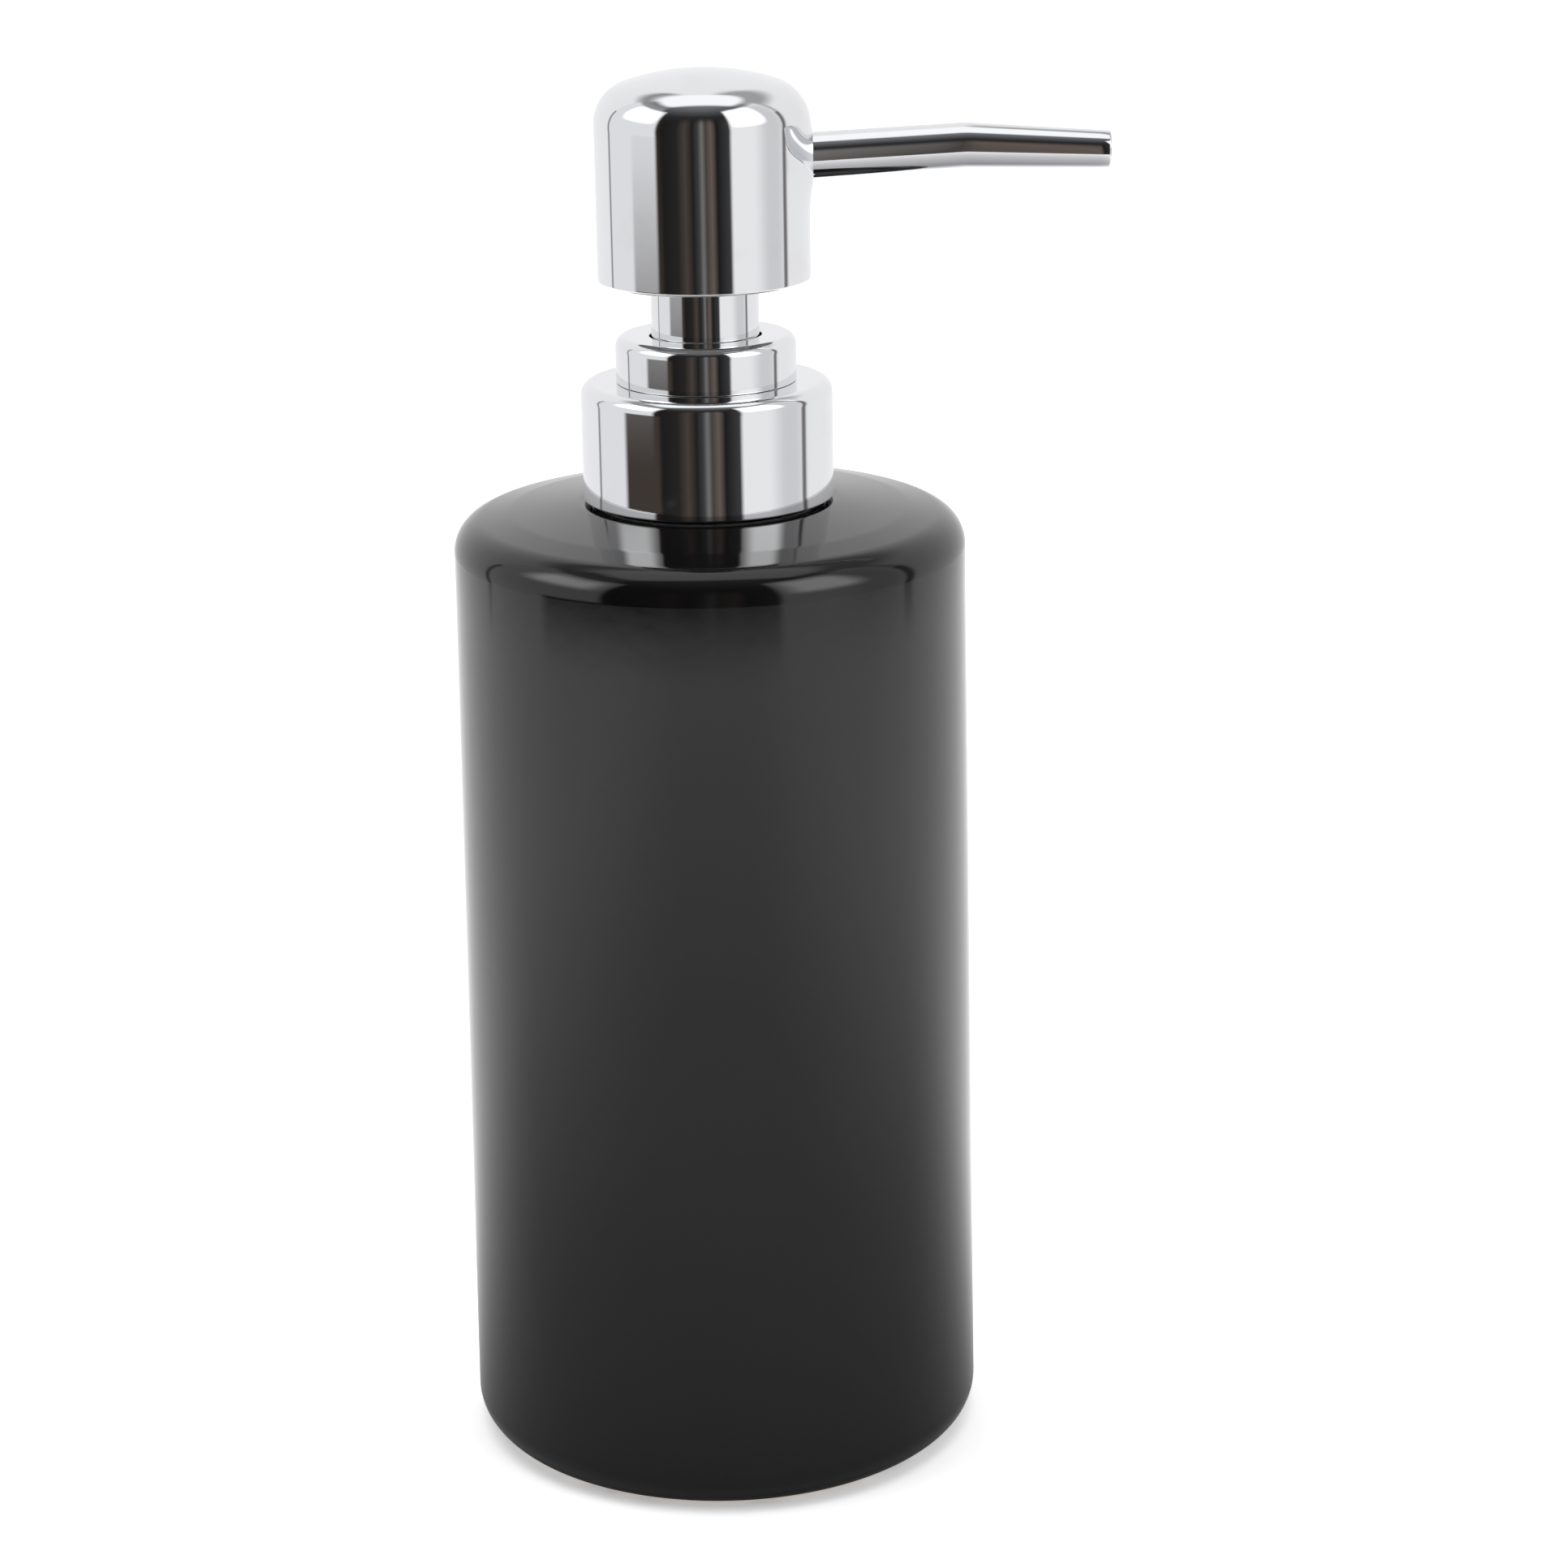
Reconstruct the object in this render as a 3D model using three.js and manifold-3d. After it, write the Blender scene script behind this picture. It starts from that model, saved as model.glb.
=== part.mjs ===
// Soap pump dispenser: a glazed ceramic bottle with a chromed press pump.
// Millimetres, +Z up. The origin is on the bottle's axis, on the surface it stands on.
// The spout points along +X.

import * as THREE from "three";
import { mergeVertices } from "three/addons/utils/BufferGeometryUtils.js";
import Module from "manifold-3d";

const wasm = await Module();
wasm.setup();

// ---- Driving dimensions ----------------------------------------------------

// Gaps between pieces, and how finely round shapes are cut.
const FIT = 0.2;
const SLIDE = 0.25;
const RIM_CHAMFER = 0.3;
const BIG_SIDES = 36;
const SMALL_SIDES = 24;
const THREAD_SIDES = 6;

// Ceramic bottle.
const FOOT_R = 35;
const BOTTLE_TOP_R = 34;
const FOOT_ROUND = 5.4;
const SHOULDER_ROUND = 8.2;
const SHOULDER_Z = 131.2;
const MOUTH_Z = 131.5;
const MOUTH_R = 13.6;
const MOUTH_ROUND = 0.8;
const CERAMIC_WALL = 4;
const CERAMIC_FLOOR = 5;
const INNER_ROUND = 5;

// Threaded neck and closure: a 28 mm closure with six threads to the inch.
const THREAD_PITCH = 25.4 / 6;
const THREAD_TURNS = 1.25;
const THREAD_RIDGE_R = 0.95;
const THREAD_SINK = 0.1;
const THREAD_START_Z = 135.2;
const THREAD_OFFSET_Z = 1.85;
const CAP_THREAD_LEAD_TURNS = 0.4;
const NECK_CORE_R = 12.45;
const NECK_BORE_R = 10.7;
const NECK_FLANGE_R = 14.9;
const NECK_FLANGE_T = 0.9;
const NECK_TOP_Z = 142.2;
const NECK_SKIRT_Z = 126.5;
const NECK_CHAMFER = 0.4;
const GASKET_INSET = 0.4;
const CLOSURE_OUT_R = 15.1;
const CLOSURE_BORE_R = 13.95;
const CLOSURE_BOTTOM_Z = 132.9;
const CLOSURE_CEILING_Z = 144.8;
const CLOSURE_TOP_Z = 146;
const CLOSURE_HOLE_R = 9.95;

// Chromed outer pieces.
const CHROME_WALL = 1.2;
const COLLAR_R = 16.6;
const COLLAR_BOTTOM_Z = 131.9;
const COLLAR_TOP_Z = 147.4;
const COLLAR_ROUND = 1.6;
const RING_R = 11.9;
const RING_TOP_Z = 153.5;
const RING_ROUND = 1.4;
const RING_LIP = 1.2;
const SLEEVE_R = 7.1;
const SLEEVE_WALL = 0.6;
const SLEEVE_BOTTOM_Z = 149.8;
const SLEEVE_TOP_Z = 170.2;
const HEAD_R = 13.95;
const HEAD_RIM_Z = 160.7;
const HEAD_TOP_Z = 187.95;
const HEAD_ROUND = 5.5;
const HEAD_CROWN = 1.35;

// Spout: up a little from the head to a bend, then down a little to the tip.
const SPOUT_R = 3.07;
const SPOUT_TIP_R = 2.53;
const SPOUT_WALL = 0.6;
const SPOUT_ROOT = new THREE.Vector3(3.9, 0, 175.99);
const SPOUT_BEND = new THREE.Vector3(34.2, 0, 177.35);
const SPOUT_TIP = new THREE.Vector3(52.85, 0, 176.5);
const BOSS_END_X = 14.4;
const BOSS_END_R = 3.7;
const BOSS_ROOT_X = 12.9;
const BOSS_ROOT_R = 5.4;

// Pump housing.
const HOUSING_TOP_Z = 152.1;
const HOUSING_NECK_R = 9.6;
const WELL_R = 8.1;
const WELL_FLOOR_Z = 134.5;
const FLANGE_R = 13.4;
const FLANGE_TOP_Z = 144.6;
const FLANGE_T = 1.2;
const CHAMBER_R = 6.3;
const CHAMBER_OUT_R = 7.6;
const CHAMBER_FLOOR_Z = 103.2;
const CHAMBER_CONE_H = 3;
const BODY_CONE_LOW = 4;
const BODY_CONE_HIGH = 1.5;
const BODY_CLEARANCE = 1;
const CAGE_R = 2.6;
const CAGE_NUB_Z = 102.4;
const CAGE_NUB_REACH = 1;
const CAGE_NUB_ROOT = 0.5;
const CAGE_NUB_W = 1;
const TAIL_R = 4.4;
const TAIL_SOCKET_R = 3.2;
const TAIL_BOTTOM_Z = 82;
const TAIL_STOP_Z = 95.5;
const SUCTION_HOLE_R = 1.2;
const VENT_Z = 131;
const VENT_R = 0.5;
const PLUG_T = 2.6;
const PLUG_SPIGOT_H = 2.2;
const PLUG_STEP = 1.9;
const SEAL_POCKET_H = 1.6;
const WIPER_H = 1.2;
const WIPER_LIP = 0.5;
const WIPER_LIP_H = 0.4;

// Stem, piston and valves.
const STEM_R = 3.5;
const STEM_BORE_R = 2;
const STEM_BOTTOM_Z = 124;
const STEM_TOP_Z = 174;
const STEM_SHOULDER_R = 4.6;
const STEM_SHOULDER_Z = 131.1;
const STEM_SHOULDER_T = 1.2;
const PISTON_BOTTOM_Z = 122.7;
const PISTON_H = 7;
const PISTON_LIP_R = 6.15;
const PISTON_LIP_T = 0.6;
const PISTON_LIP_SET = 0.4;
const PISTON_WAIST = 1;
const PISTON_WAIST_H = 2.8;
const PISTON_FOOT_T = 1.2;
const PISTON_FOOT_H = 1.6;
const PISTON_TOP_T = 0.9;
const PISTON_TOP_H = 2;
const SEAT_R = 4.6;
const SEAT_T = 1.4;
const SEAT_SHANK_TOP_Z = 131;
const SEAT_SHANK_T = 1.2;
const BALL_R = 2;
const BALL_Z = 98.95;

// Spring and dip tube.
const SPRING_R = 4.4;
const SPRING_WIRE_R = 0.35;
const SPRING_TURNS = 6;
const SPRING_CLOSED_PITCH = 0.77;
const SPRING_END_GAP = 0.1;
const DIP_R = 3;
const DIP_BORE_R = 2.2;
const DIP_BOTTOM_Z = 6.5;

// Head core.
const CORE_FLANGE_Z = 170.5;
const CORE_FLANGE_T = 1.8;
const CORE_BODY_R = 6.8;
const CORE_TOP_Z = 180.8;
const CORE_BOTTOM_Z = 158;
const CORE_ARM_R = 5;
const CORE_ARM_END_X = 11.6;
const CHANNEL_R = 1.6;
const SEAL_X = 7.9;
const SEAL_R = 3.7;
const SEAL_SECTION_R = 0.5;

// ---- Materials -------------------------------------------------------------

function material(color, roughness, metalness) {
  return new THREE.MeshStandardMaterial({ color, roughness, metalness });
}

const glaze = material(0x0c0d0f, 0.08, 0);
const chrome = material(0xdfe1e4, 0.05, 1);
const whitePlastic = material(0xe9e9e4, 0.4, 0);
const clearPlastic = material(0xdfe5e6, 0.25, 0);
const softSeal = material(0x8d9090, 0.6, 0);
const blackRubber = material(0x1b1b1c, 0.7, 0);
const springSteel = material(0xa9adb2, 0.25, 1);
const glassBall = material(0xcfe0dc, 0.05, 0);

// ---- Solids ----------------------------------------------------------------

// A closed three.js geometry as a manifold-3d solid.
function solidOf(geometry) {
  geometry.deleteAttribute("normal");
  geometry.deleteAttribute("uv");
  const merged = mergeVertices(geometry);
  const index = merged.index.array;
  const triangles = [];
  for (let i = 0; i < index.length; i += 3) {
    const [a, b, c] = index.slice(i, i + 3);
    const flat = a === b || b === c || c === a;
    if (!flat) triangles.push(a, b, c);
  }
  const vertProperties = merged.getAttribute("position").array;
  const triVerts = Uint32Array.from(triangles);
  return new wasm.Manifold(new wasm.Mesh({ numProp: 3, vertProperties, triVerts }));
}

// A closed outline of [radius, height] points, counter-clockwise, turned about +Z.
function revolve(outline, sides = SMALL_SIDES) {
  const points = outline.map(([r, z]) => new THREE.Vector2(r, z));
  points.push(points[0].clone());
  const geometry = new THREE.LatheGeometry(points, sides);
  geometry.rotateX(Math.PI / 2);
  return solidOf(geometry);
}

// A plain ring, or a disc where the inner radius is 0.
function ring(inner, outer, low, high, sides = SMALL_SIDES) {
  return revolve([[inner, low], [outer, low], [outer, high], [inner, high]], sides);
}

// Points of a round corner about (r, z), from one angle to another in degrees.
function corner(r, z, radius, from, to, steps) {
  const points = [];
  for (let i = 0; i <= steps; i += 1) {
    const angle = THREE.MathUtils.degToRad(from + ((to - from) * i) / steps);
    points.push([r + radius * Math.cos(angle), z + radius * Math.sin(angle)]);
  }
  return points;
}

// A solid bar, straight or tapered, from one point to another.
function bar(start, end, startR, endR, sides = SMALL_SIDES) {
  const along = new THREE.Vector3().subVectors(end, start);
  const geometry = new THREE.CylinderGeometry(endR, startR, along.length(), sides);
  const turn = new THREE.Quaternion();
  turn.setFromUnitVectors(new THREE.Vector3(0, 1, 0), along.clone().normalize());
  geometry.applyQuaternion(turn);
  geometry.translate(...start.clone().addScaledVector(along, 0.5));
  return solidOf(geometry);
}

// A bar along +X at the height of the spout's root.
function crossBar(fromX, toX, fromR, toR = fromR) {
  const z = spoutHeight((fromX + toX) / 2);
  return bar(new THREE.Vector3(fromX, 0, z), new THREE.Vector3(toX, 0, z), fromR, toR);
}

// Height of the spout's centre line at x, between its root and its bend.
function spoutHeight(x) {
  const rise = (SPOUT_BEND.z - SPOUT_ROOT.z) / (SPOUT_BEND.x - SPOUT_ROOT.x);
  return SPOUT_ROOT.z + rise * (x - SPOUT_ROOT.x);
}

function ball(radius, centre, across = 16, down = 12) {
  const geometry = new THREE.SphereGeometry(radius, across, down);
  geometry.translate(centre.x, centre.y, centre.z);
  return solidOf(geometry);
}

// A helix about +Z whose height follows a function of the turns made.
class Helix extends THREE.Curve {
  constructor(radius, firstTurn, lastTurn, heightAt) {
    super();
    Object.assign(this, { radius, firstTurn, lastTurn, heightAt });
  }

  getPoint(t, target = new THREE.Vector3()) {
    const turn = THREE.MathUtils.lerp(this.firstTurn, this.lastTurn, t);
    const angle = 2 * Math.PI * turn;
    const x = this.radius * Math.cos(angle);
    const y = this.radius * Math.sin(angle);
    return target.set(x, y, this.heightAt(turn));
  }
}

// A round wire along a helix.
function coil(helix, wireR, wireSides, stepsPerTurn) {
  const section = new THREE.Shape();
  for (let i = 0; i < wireSides; i += 1) {
    const angle = (2 * Math.PI * i) / wireSides;
    const [x, y] = [wireR * Math.cos(angle), wireR * Math.sin(angle)];
    if (i === 0) section.moveTo(x, y);
    else section.lineTo(x, y);
  }
  section.closePath();
  const steps = Math.round((helix.lastTurn - helix.firstTurn) * stepsPerTurn);
  return solidOf(new THREE.ExtrudeGeometry(section, { steps, extrudePath: helix }));
}

// ---- Bottle ----------------------------------------------------------------

function bottle() {
  const innerTop = MOUTH_Z - CERAMIC_WALL;
  const innerTopR = BOTTLE_TOP_R - CERAMIC_WALL;
  const innerFootR = FOOT_R - CERAMIC_WALL;
  return revolve([
    [0, 0],
    ...corner(FOOT_R - FOOT_ROUND, FOOT_ROUND, FOOT_ROUND, -90, 0, 5),
    ...corner(BOTTLE_TOP_R - SHOULDER_ROUND, SHOULDER_Z - SHOULDER_ROUND, SHOULDER_ROUND, 0, 90, 6),
    ...corner(MOUTH_R + MOUTH_ROUND, MOUTH_Z - MOUTH_ROUND, MOUTH_ROUND, 90, 180, 2),
    [MOUTH_R, innerTop],
    ...corner(innerTopR - INNER_ROUND, innerTop - INNER_ROUND, INNER_ROUND, 90, 0, 3),
    ...corner(innerFootR - INNER_ROUND, CERAMIC_FLOOR + INNER_ROUND, INNER_ROUND, 0, -90, 3),
    [0, CERAMIC_FLOOR],
  ], BIG_SIDES);
}

// ---- Threaded neck and closure ---------------------------------------------

function threadHeight(turn) {
  return THREAD_START_Z + THREAD_PITCH * turn;
}

function neckInsert() {
  const flangeBottom = MOUTH_Z + FIT;
  const flangeTop = flangeBottom + NECK_FLANGE_T;
  const skirtR = MOUTH_R - FIT;
  const body = revolve([
    [NECK_BORE_R, NECK_SKIRT_Z],
    [skirtR, NECK_SKIRT_Z],
    [skirtR, flangeBottom],
    [NECK_FLANGE_R, flangeBottom],
    [NECK_FLANGE_R, flangeTop],
    [NECK_CORE_R, flangeTop],
    [NECK_CORE_R, NECK_TOP_Z - NECK_CHAMFER],
    [NECK_CORE_R - NECK_CHAMFER, NECK_TOP_Z],
    [NECK_BORE_R, NECK_TOP_Z],
  ], BIG_SIDES);
  const helix = new Helix(NECK_CORE_R + THREAD_SINK, 0, THREAD_TURNS, threadHeight);
  return body.add(coil(helix, THREAD_RIDGE_R, THREAD_SIDES, BIG_SIDES / 2));
}

function screwCap() {
  const body = revolve([
    [CLOSURE_BORE_R, CLOSURE_BOTTOM_Z],
    [CLOSURE_OUT_R, CLOSURE_BOTTOM_Z],
    [CLOSURE_OUT_R, CLOSURE_TOP_Z],
    [CLOSURE_HOLE_R, CLOSURE_TOP_Z],
    [CLOSURE_HOLE_R, CLOSURE_CEILING_Z],
    [CLOSURE_BORE_R, CLOSURE_CEILING_Z],
  ], BIG_SIDES);
  const firstTurn = CAP_THREAD_LEAD_TURNS;
  const lastTurn = firstTurn + THREAD_TURNS;
  const height = (turn) => threadHeight(turn) - THREAD_OFFSET_Z;
  const helix = new Helix(CLOSURE_BORE_R - THREAD_SINK, firstTurn, lastTurn, height);
  return body.add(coil(helix, THREAD_RIDGE_R, THREAD_SIDES, BIG_SIDES / 2));
}

function neckGasket() {
  const low = NECK_TOP_Z + FIT;
  const high = FLANGE_TOP_Z - FLANGE_T - FIT;
  return ring(NECK_BORE_R, FLANGE_R - GASKET_INSET, low, high);
}

// ---- Chromed outer pieces --------------------------------------------------

function collarShell() {
  const inner = COLLAR_R - CHROME_WALL;
  const ceiling = COLLAR_TOP_Z - CHROME_WALL;
  return revolve([
    [inner, COLLAR_BOTTOM_Z],
    [COLLAR_R - RIM_CHAMFER, COLLAR_BOTTOM_Z],
    [COLLAR_R, COLLAR_BOTTOM_Z + RIM_CHAMFER],
    ...corner(COLLAR_R - COLLAR_ROUND, COLLAR_TOP_Z - COLLAR_ROUND, COLLAR_ROUND, 0, 90, 4),
    [CLOSURE_HOLE_R, COLLAR_TOP_Z],
    [CLOSURE_HOLE_R, ceiling],
    [inner, ceiling],
  ], BIG_SIDES);
}

function guideRing() {
  const bottom = COLLAR_TOP_Z + FIT;
  const counterbore = HOUSING_NECK_R + SLIDE;
  const lipBottom = RING_TOP_Z - RING_LIP;
  return revolve([
    [counterbore, bottom],
    [RING_R - RIM_CHAMFER, bottom],
    [RING_R, bottom + RIM_CHAMFER],
    ...corner(RING_R - RING_ROUND, RING_TOP_Z - RING_ROUND, RING_ROUND, 0, 90, 4),
    [SLEEVE_R + SLIDE, RING_TOP_Z],
    [SLEEVE_R + SLIDE, lipBottom],
    [counterbore, lipBottom],
  ], BIG_SIDES);
}

function stemSleeve() {
  return ring(SLEEVE_R - SLEEVE_WALL, SLEEVE_R, SLEEVE_BOTTOM_Z, SLEEVE_TOP_Z, BIG_SIDES);
}

function headCap() {
  const flatR = HEAD_R - HEAD_ROUND;
  const innerR = HEAD_R - CHROME_WALL;
  const innerRound = HEAD_ROUND - CHROME_WALL;
  const edgeZ = HEAD_TOP_Z - HEAD_CROWN;
  const cornerZ = edgeZ - HEAD_ROUND;
  const crownR = 0.6 * flatR;
  const crownZ = HEAD_TOP_Z - HEAD_CROWN * (crownR / flatR) ** 2;
  const shell = revolve([
    [innerR, HEAD_RIM_Z],
    [HEAD_R - RIM_CHAMFER, HEAD_RIM_Z],
    [HEAD_R, HEAD_RIM_Z + RIM_CHAMFER],
    ...corner(flatR, cornerZ, HEAD_ROUND, 0, 82, 6),
    [crownR, crownZ],
    [0, HEAD_TOP_Z],
    [0, HEAD_TOP_Z - CHROME_WALL],
    ...corner(flatR, cornerZ, innerRound, 82, 0, 4),
  ], BIG_SIDES);
  const boss = crossBar(BOSS_ROOT_X, BOSS_END_X, BOSS_ROOT_R, BOSS_END_R);
  const hole = bar(SPOUT_ROOT, SPOUT_BEND, SPOUT_R + SLIDE, SPOUT_R + SLIDE);
  const room = ring(0, innerR, HEAD_RIM_Z, cornerZ, BIG_SIDES);
  return shell.add(boss.subtract(room)).subtract(hole);
}

// The two runs lap a little past the bend, and the bore runs out past both ends.
function spoutTube() {
  const lap = 0.005;
  const overrun = 0.1;
  const run = (rootR, tipR, root, tip) => {
    const pastBend = SPOUT_BEND.clone().lerp(root, -lap);
    const beforeBend = SPOUT_BEND.clone().lerp(tip, -lap);
    const first = bar(root, pastBend, rootR, rootR);
    const second = bar(beforeBend, tip, rootR, tipR);
    return first.add(second);
  };
  const beyond = (point) => point.clone().lerp(SPOUT_BEND, -overrun);
  const outside = run(SPOUT_R, SPOUT_TIP_R, SPOUT_ROOT, SPOUT_TIP);
  const boreR = SPOUT_R - SPOUT_WALL;
  const boreTipR = SPOUT_TIP_R - SPOUT_WALL;
  return outside.subtract(run(boreR, boreTipR, beyond(SPOUT_ROOT), beyond(SPOUT_TIP)));
}

// ---- Inside the head -------------------------------------------------------

function actuatorCore() {
  const sleeveBoreR = SLEEVE_R - SLEEVE_WALL;
  const neckR = sleeveBoreR - SLIDE;
  const flangeR = HEAD_R - CHROME_WALL - SLIDE;
  const flangeTop = CORE_FLANGE_Z + CORE_FLANGE_T;
  const body = revolve([
    [0, CORE_BOTTOM_Z],
    [neckR, CORE_BOTTOM_Z],
    [neckR, CORE_FLANGE_Z],
    [flangeR, CORE_FLANGE_Z],
    [flangeR, flangeTop],
    [CORE_BODY_R, flangeTop],
    [CORE_BODY_R, CORE_TOP_Z],
    [0, CORE_TOP_Z],
  ]);
  const belowCore = CORE_BOTTOM_Z - 1;
  const behindRoot = SPOUT_ROOT.clone().lerp(SPOUT_BEND, -0.01);
  const socket = ring(0, STEM_R + FIT, belowCore, STEM_TOP_Z + FIT);
  const riser = ring(0, CHANNEL_R, STEM_TOP_Z, spoutHeight(0));
  const arm = crossBar(0, CORE_ARM_END_X, CORE_ARM_R);
  const channel = crossBar(-CHANNEL_R, CORE_ARM_END_X, CHANNEL_R);
  const tubeBore = bar(behindRoot, SPOUT_BEND, SPOUT_R + FIT, SPOUT_R + FIT);
  const groove = crossBar(
    SEAL_X - SEAL_SECTION_R - FIT,
    SEAL_X + SEAL_SECTION_R + FIT,
    SEAL_R + SEAL_SECTION_R + FIT,
  );
  const cut = socket.add(riser).add(channel).add(tubeBore).add(groove);
  return body.add(arm).subtract(cut);
}

function spoutSeal() {
  const geometry = new THREE.TorusGeometry(SEAL_R + FIT / 2, SEAL_SECTION_R, 8, SMALL_SIDES);
  geometry.rotateY(Math.PI / 2);
  geometry.translate(SEAL_X, 0, spoutHeight(SEAL_X));
  return solidOf(geometry);
}

// ---- Pump ------------------------------------------------------------------

// Height on the suction valve's 45 degree seat at a radius.
function seatHeight(r) {
  const touch = (BALL_R + FIT / 2) * Math.SQRT1_2;
  return BALL_Z - touch + (r - touch);
}

function pumpHousing() {
  const flangeBottom = FLANGE_TOP_Z - FLANGE_T;
  const bodyR = NECK_BORE_R - BODY_CLEARANCE;
  const body = revolve([
    [TAIL_SOCKET_R, TAIL_BOTTOM_Z],
    [TAIL_R, TAIL_BOTTOM_Z],
    [TAIL_R, TAIL_STOP_Z],
    [CHAMBER_OUT_R, CHAMBER_FLOOR_Z - CHAMBER_CONE_H],
    [CHAMBER_OUT_R, WELL_FLOOR_Z - BODY_CONE_LOW],
    [bodyR, WELL_FLOOR_Z - BODY_CONE_HIGH],
    [bodyR, flangeBottom],
    [FLANGE_R, flangeBottom],
    [FLANGE_R, FLANGE_TOP_Z],
    [HOUSING_NECK_R, FLANGE_TOP_Z],
    [HOUSING_NECK_R, HOUSING_TOP_Z],
    [WELL_R, HOUSING_TOP_Z],
    [WELL_R, WELL_FLOOR_Z],
    [CHAMBER_R, WELL_FLOOR_Z],
    [CHAMBER_R, CHAMBER_FLOOR_Z],
    [CAGE_R, CHAMBER_FLOOR_Z],
    [CAGE_R, seatHeight(CAGE_R)],
    [SUCTION_HOLE_R, seatHeight(SUCTION_HOLE_R)],
    [SUCTION_HOLE_R, TAIL_STOP_Z],
    [TAIL_SOCKET_R, TAIL_STOP_Z],
  ]);
  const vent = bar(
    new THREE.Vector3(0, CHAMBER_R - 1, VENT_Z),
    new THREE.Vector3(0, NECK_BORE_R, VENT_Z),
    VENT_R,
    VENT_R,
    8,
  );
  return addBallNubs(body).subtract(vent);
}

// Three nubs at the top of the cage keep the ball from leaving it.
function addBallNubs(body) {
  const height = CHAMBER_FLOOR_Z - CAGE_NUB_Z;
  const length = CAGE_NUB_REACH + CAGE_NUB_ROOT;
  const middle = CAGE_R - CAGE_NUB_REACH + length / 2;
  let solid = body;
  for (let i = 0; i < 3; i += 1) {
    const geometry = new THREE.BoxGeometry(length, CAGE_NUB_W, height);
    geometry.translate(middle, 0, CAGE_NUB_Z + height / 2);
    geometry.rotateZ((2 * Math.PI * i) / 3);
    solid = solid.add(solidOf(geometry));
  }
  return solid;
}

function housingPlug() {
  const low = WELL_FLOOR_Z + FIT;
  const high = low + PLUG_T;
  const bore = STEM_R + SLIDE;
  const spigot = low - PLUG_SPIGOT_H;
  const pocket = high - SEAL_POCKET_H;
  return revolve([
    [bore, spigot],
    [CHAMBER_R - FIT, spigot],
    [CHAMBER_R - FIT, low],
    [WELL_R - FIT, low],
    [WELL_R - FIT, high],
    [bore + PLUG_STEP, high],
    [bore + PLUG_STEP, pocket],
    [bore, pocket],
  ]);
}

function stemSeal() {
  const low = WELL_FLOOR_Z + FIT + PLUG_T - SEAL_POCKET_H + FIT;
  const high = low + WIPER_H;
  const inner = STEM_R + FIT / 2;
  const outer = STEM_R + SLIDE + PLUG_STEP - FIT;
  return revolve([
    [inner + WIPER_LIP, low],
    [outer, low],
    [outer, high],
    [inner, high],
    [inner, high - WIPER_LIP_H],
  ]);
}

function stem() {
  const shoulderTop = STEM_SHOULDER_Z + STEM_SHOULDER_T;
  return revolve([
    [STEM_BORE_R, STEM_BOTTOM_Z],
    [STEM_R, STEM_BOTTOM_Z],
    [STEM_R, STEM_SHOULDER_Z],
    [STEM_SHOULDER_R, STEM_SHOULDER_Z],
    [STEM_SHOULDER_R, shoulderTop],
    [STEM_R, shoulderTop],
    [STEM_R, STEM_TOP_Z],
    [STEM_BORE_R, STEM_TOP_Z],
  ]);
}

function piston() {
  const bore = STEM_R + SLIDE;
  const low = PISTON_BOTTOM_Z;
  const high = low + PISTON_H;
  const foot = bore + PISTON_FOOT_T;
  const top = bore + PISTON_TOP_T;
  const lip = PISTON_LIP_R - PISTON_LIP_T;
  const waist = PISTON_LIP_R - PISTON_WAIST;
  return revolve([
    [bore, low],
    [foot, low],
    [foot, low + PISTON_FOOT_H],
    [lip, low + PISTON_LIP_SET],
    [PISTON_LIP_R, low + PISTON_LIP_SET],
    [waist, low + PISTON_WAIST_H],
    [waist, high - PISTON_WAIST_H],
    [PISTON_LIP_R, high - PISTON_LIP_SET],
    [lip, high - PISTON_LIP_SET],
    [top, high - PISTON_TOP_H],
    [top, high],
    [bore, high],
  ]);
}

// The closing disc under the piston, on a cross-shaped shank that lets soap past.
function pistonSeat() {
  const top = PISTON_BOTTOM_Z - FIT;
  const disc = revolve([
    [0, top - SEAT_T],
    [SEAT_R, top - SEAT_T],
    [SEAT_R, top - RIM_CHAMFER],
    [SEAT_R - RIM_CHAMFER, top],
    [0, top],
  ]);
  const reach = STEM_BORE_R - FIT;
  const half = SEAT_SHANK_T / 2;
  const section = new THREE.Shape();
  section.moveTo(reach, -half);
  for (let i = 0; i < 4; i += 1) {
    const turn = (x, y) => {
      const angle = (Math.PI / 2) * i;
      const [c, s] = [Math.cos(angle), Math.sin(angle)];
      section.lineTo(x * c - y * s, x * s + y * c);
    };
    turn(reach, -half);
    turn(reach, half);
    turn(half, half);
  }
  section.closePath();
  const depth = SEAT_SHANK_TOP_Z - top + SEAT_T / 2;
  const geometry = new THREE.ExtrudeGeometry(section, { depth, bevelEnabled: false });
  geometry.translate(0, 0, top - SEAT_T / 2);
  return disc.add(solidOf(geometry));
}

function inletBall() {
  return ball(BALL_R, new THREE.Vector3(0, 0, BALL_Z));
}

// Closed end coils, evenly spaced turns between them.
function returnSpring() {
  const low = CHAMBER_FLOOR_Z + SPRING_END_GAP + SPRING_WIRE_R;
  const high = PISTON_BOTTOM_Z - FIT - SEAT_T - SPRING_END_GAP - SPRING_WIRE_R;
  const closed = SPRING_CLOSED_PITCH;
  const open = (high - low - 2 * closed) / (SPRING_TURNS - 2);
  const height = (turn) => {
    const atEnds = Math.min(turn, 1) + Math.max(turn - SPRING_TURNS + 1, 0);
    const between = Math.min(Math.max(turn - 1, 0), SPRING_TURNS - 2);
    return low + closed * atEnds + open * between;
  };
  return coil(new Helix(SPRING_R, 0, SPRING_TURNS, height), SPRING_WIRE_R, 5, 12);
}

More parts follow.
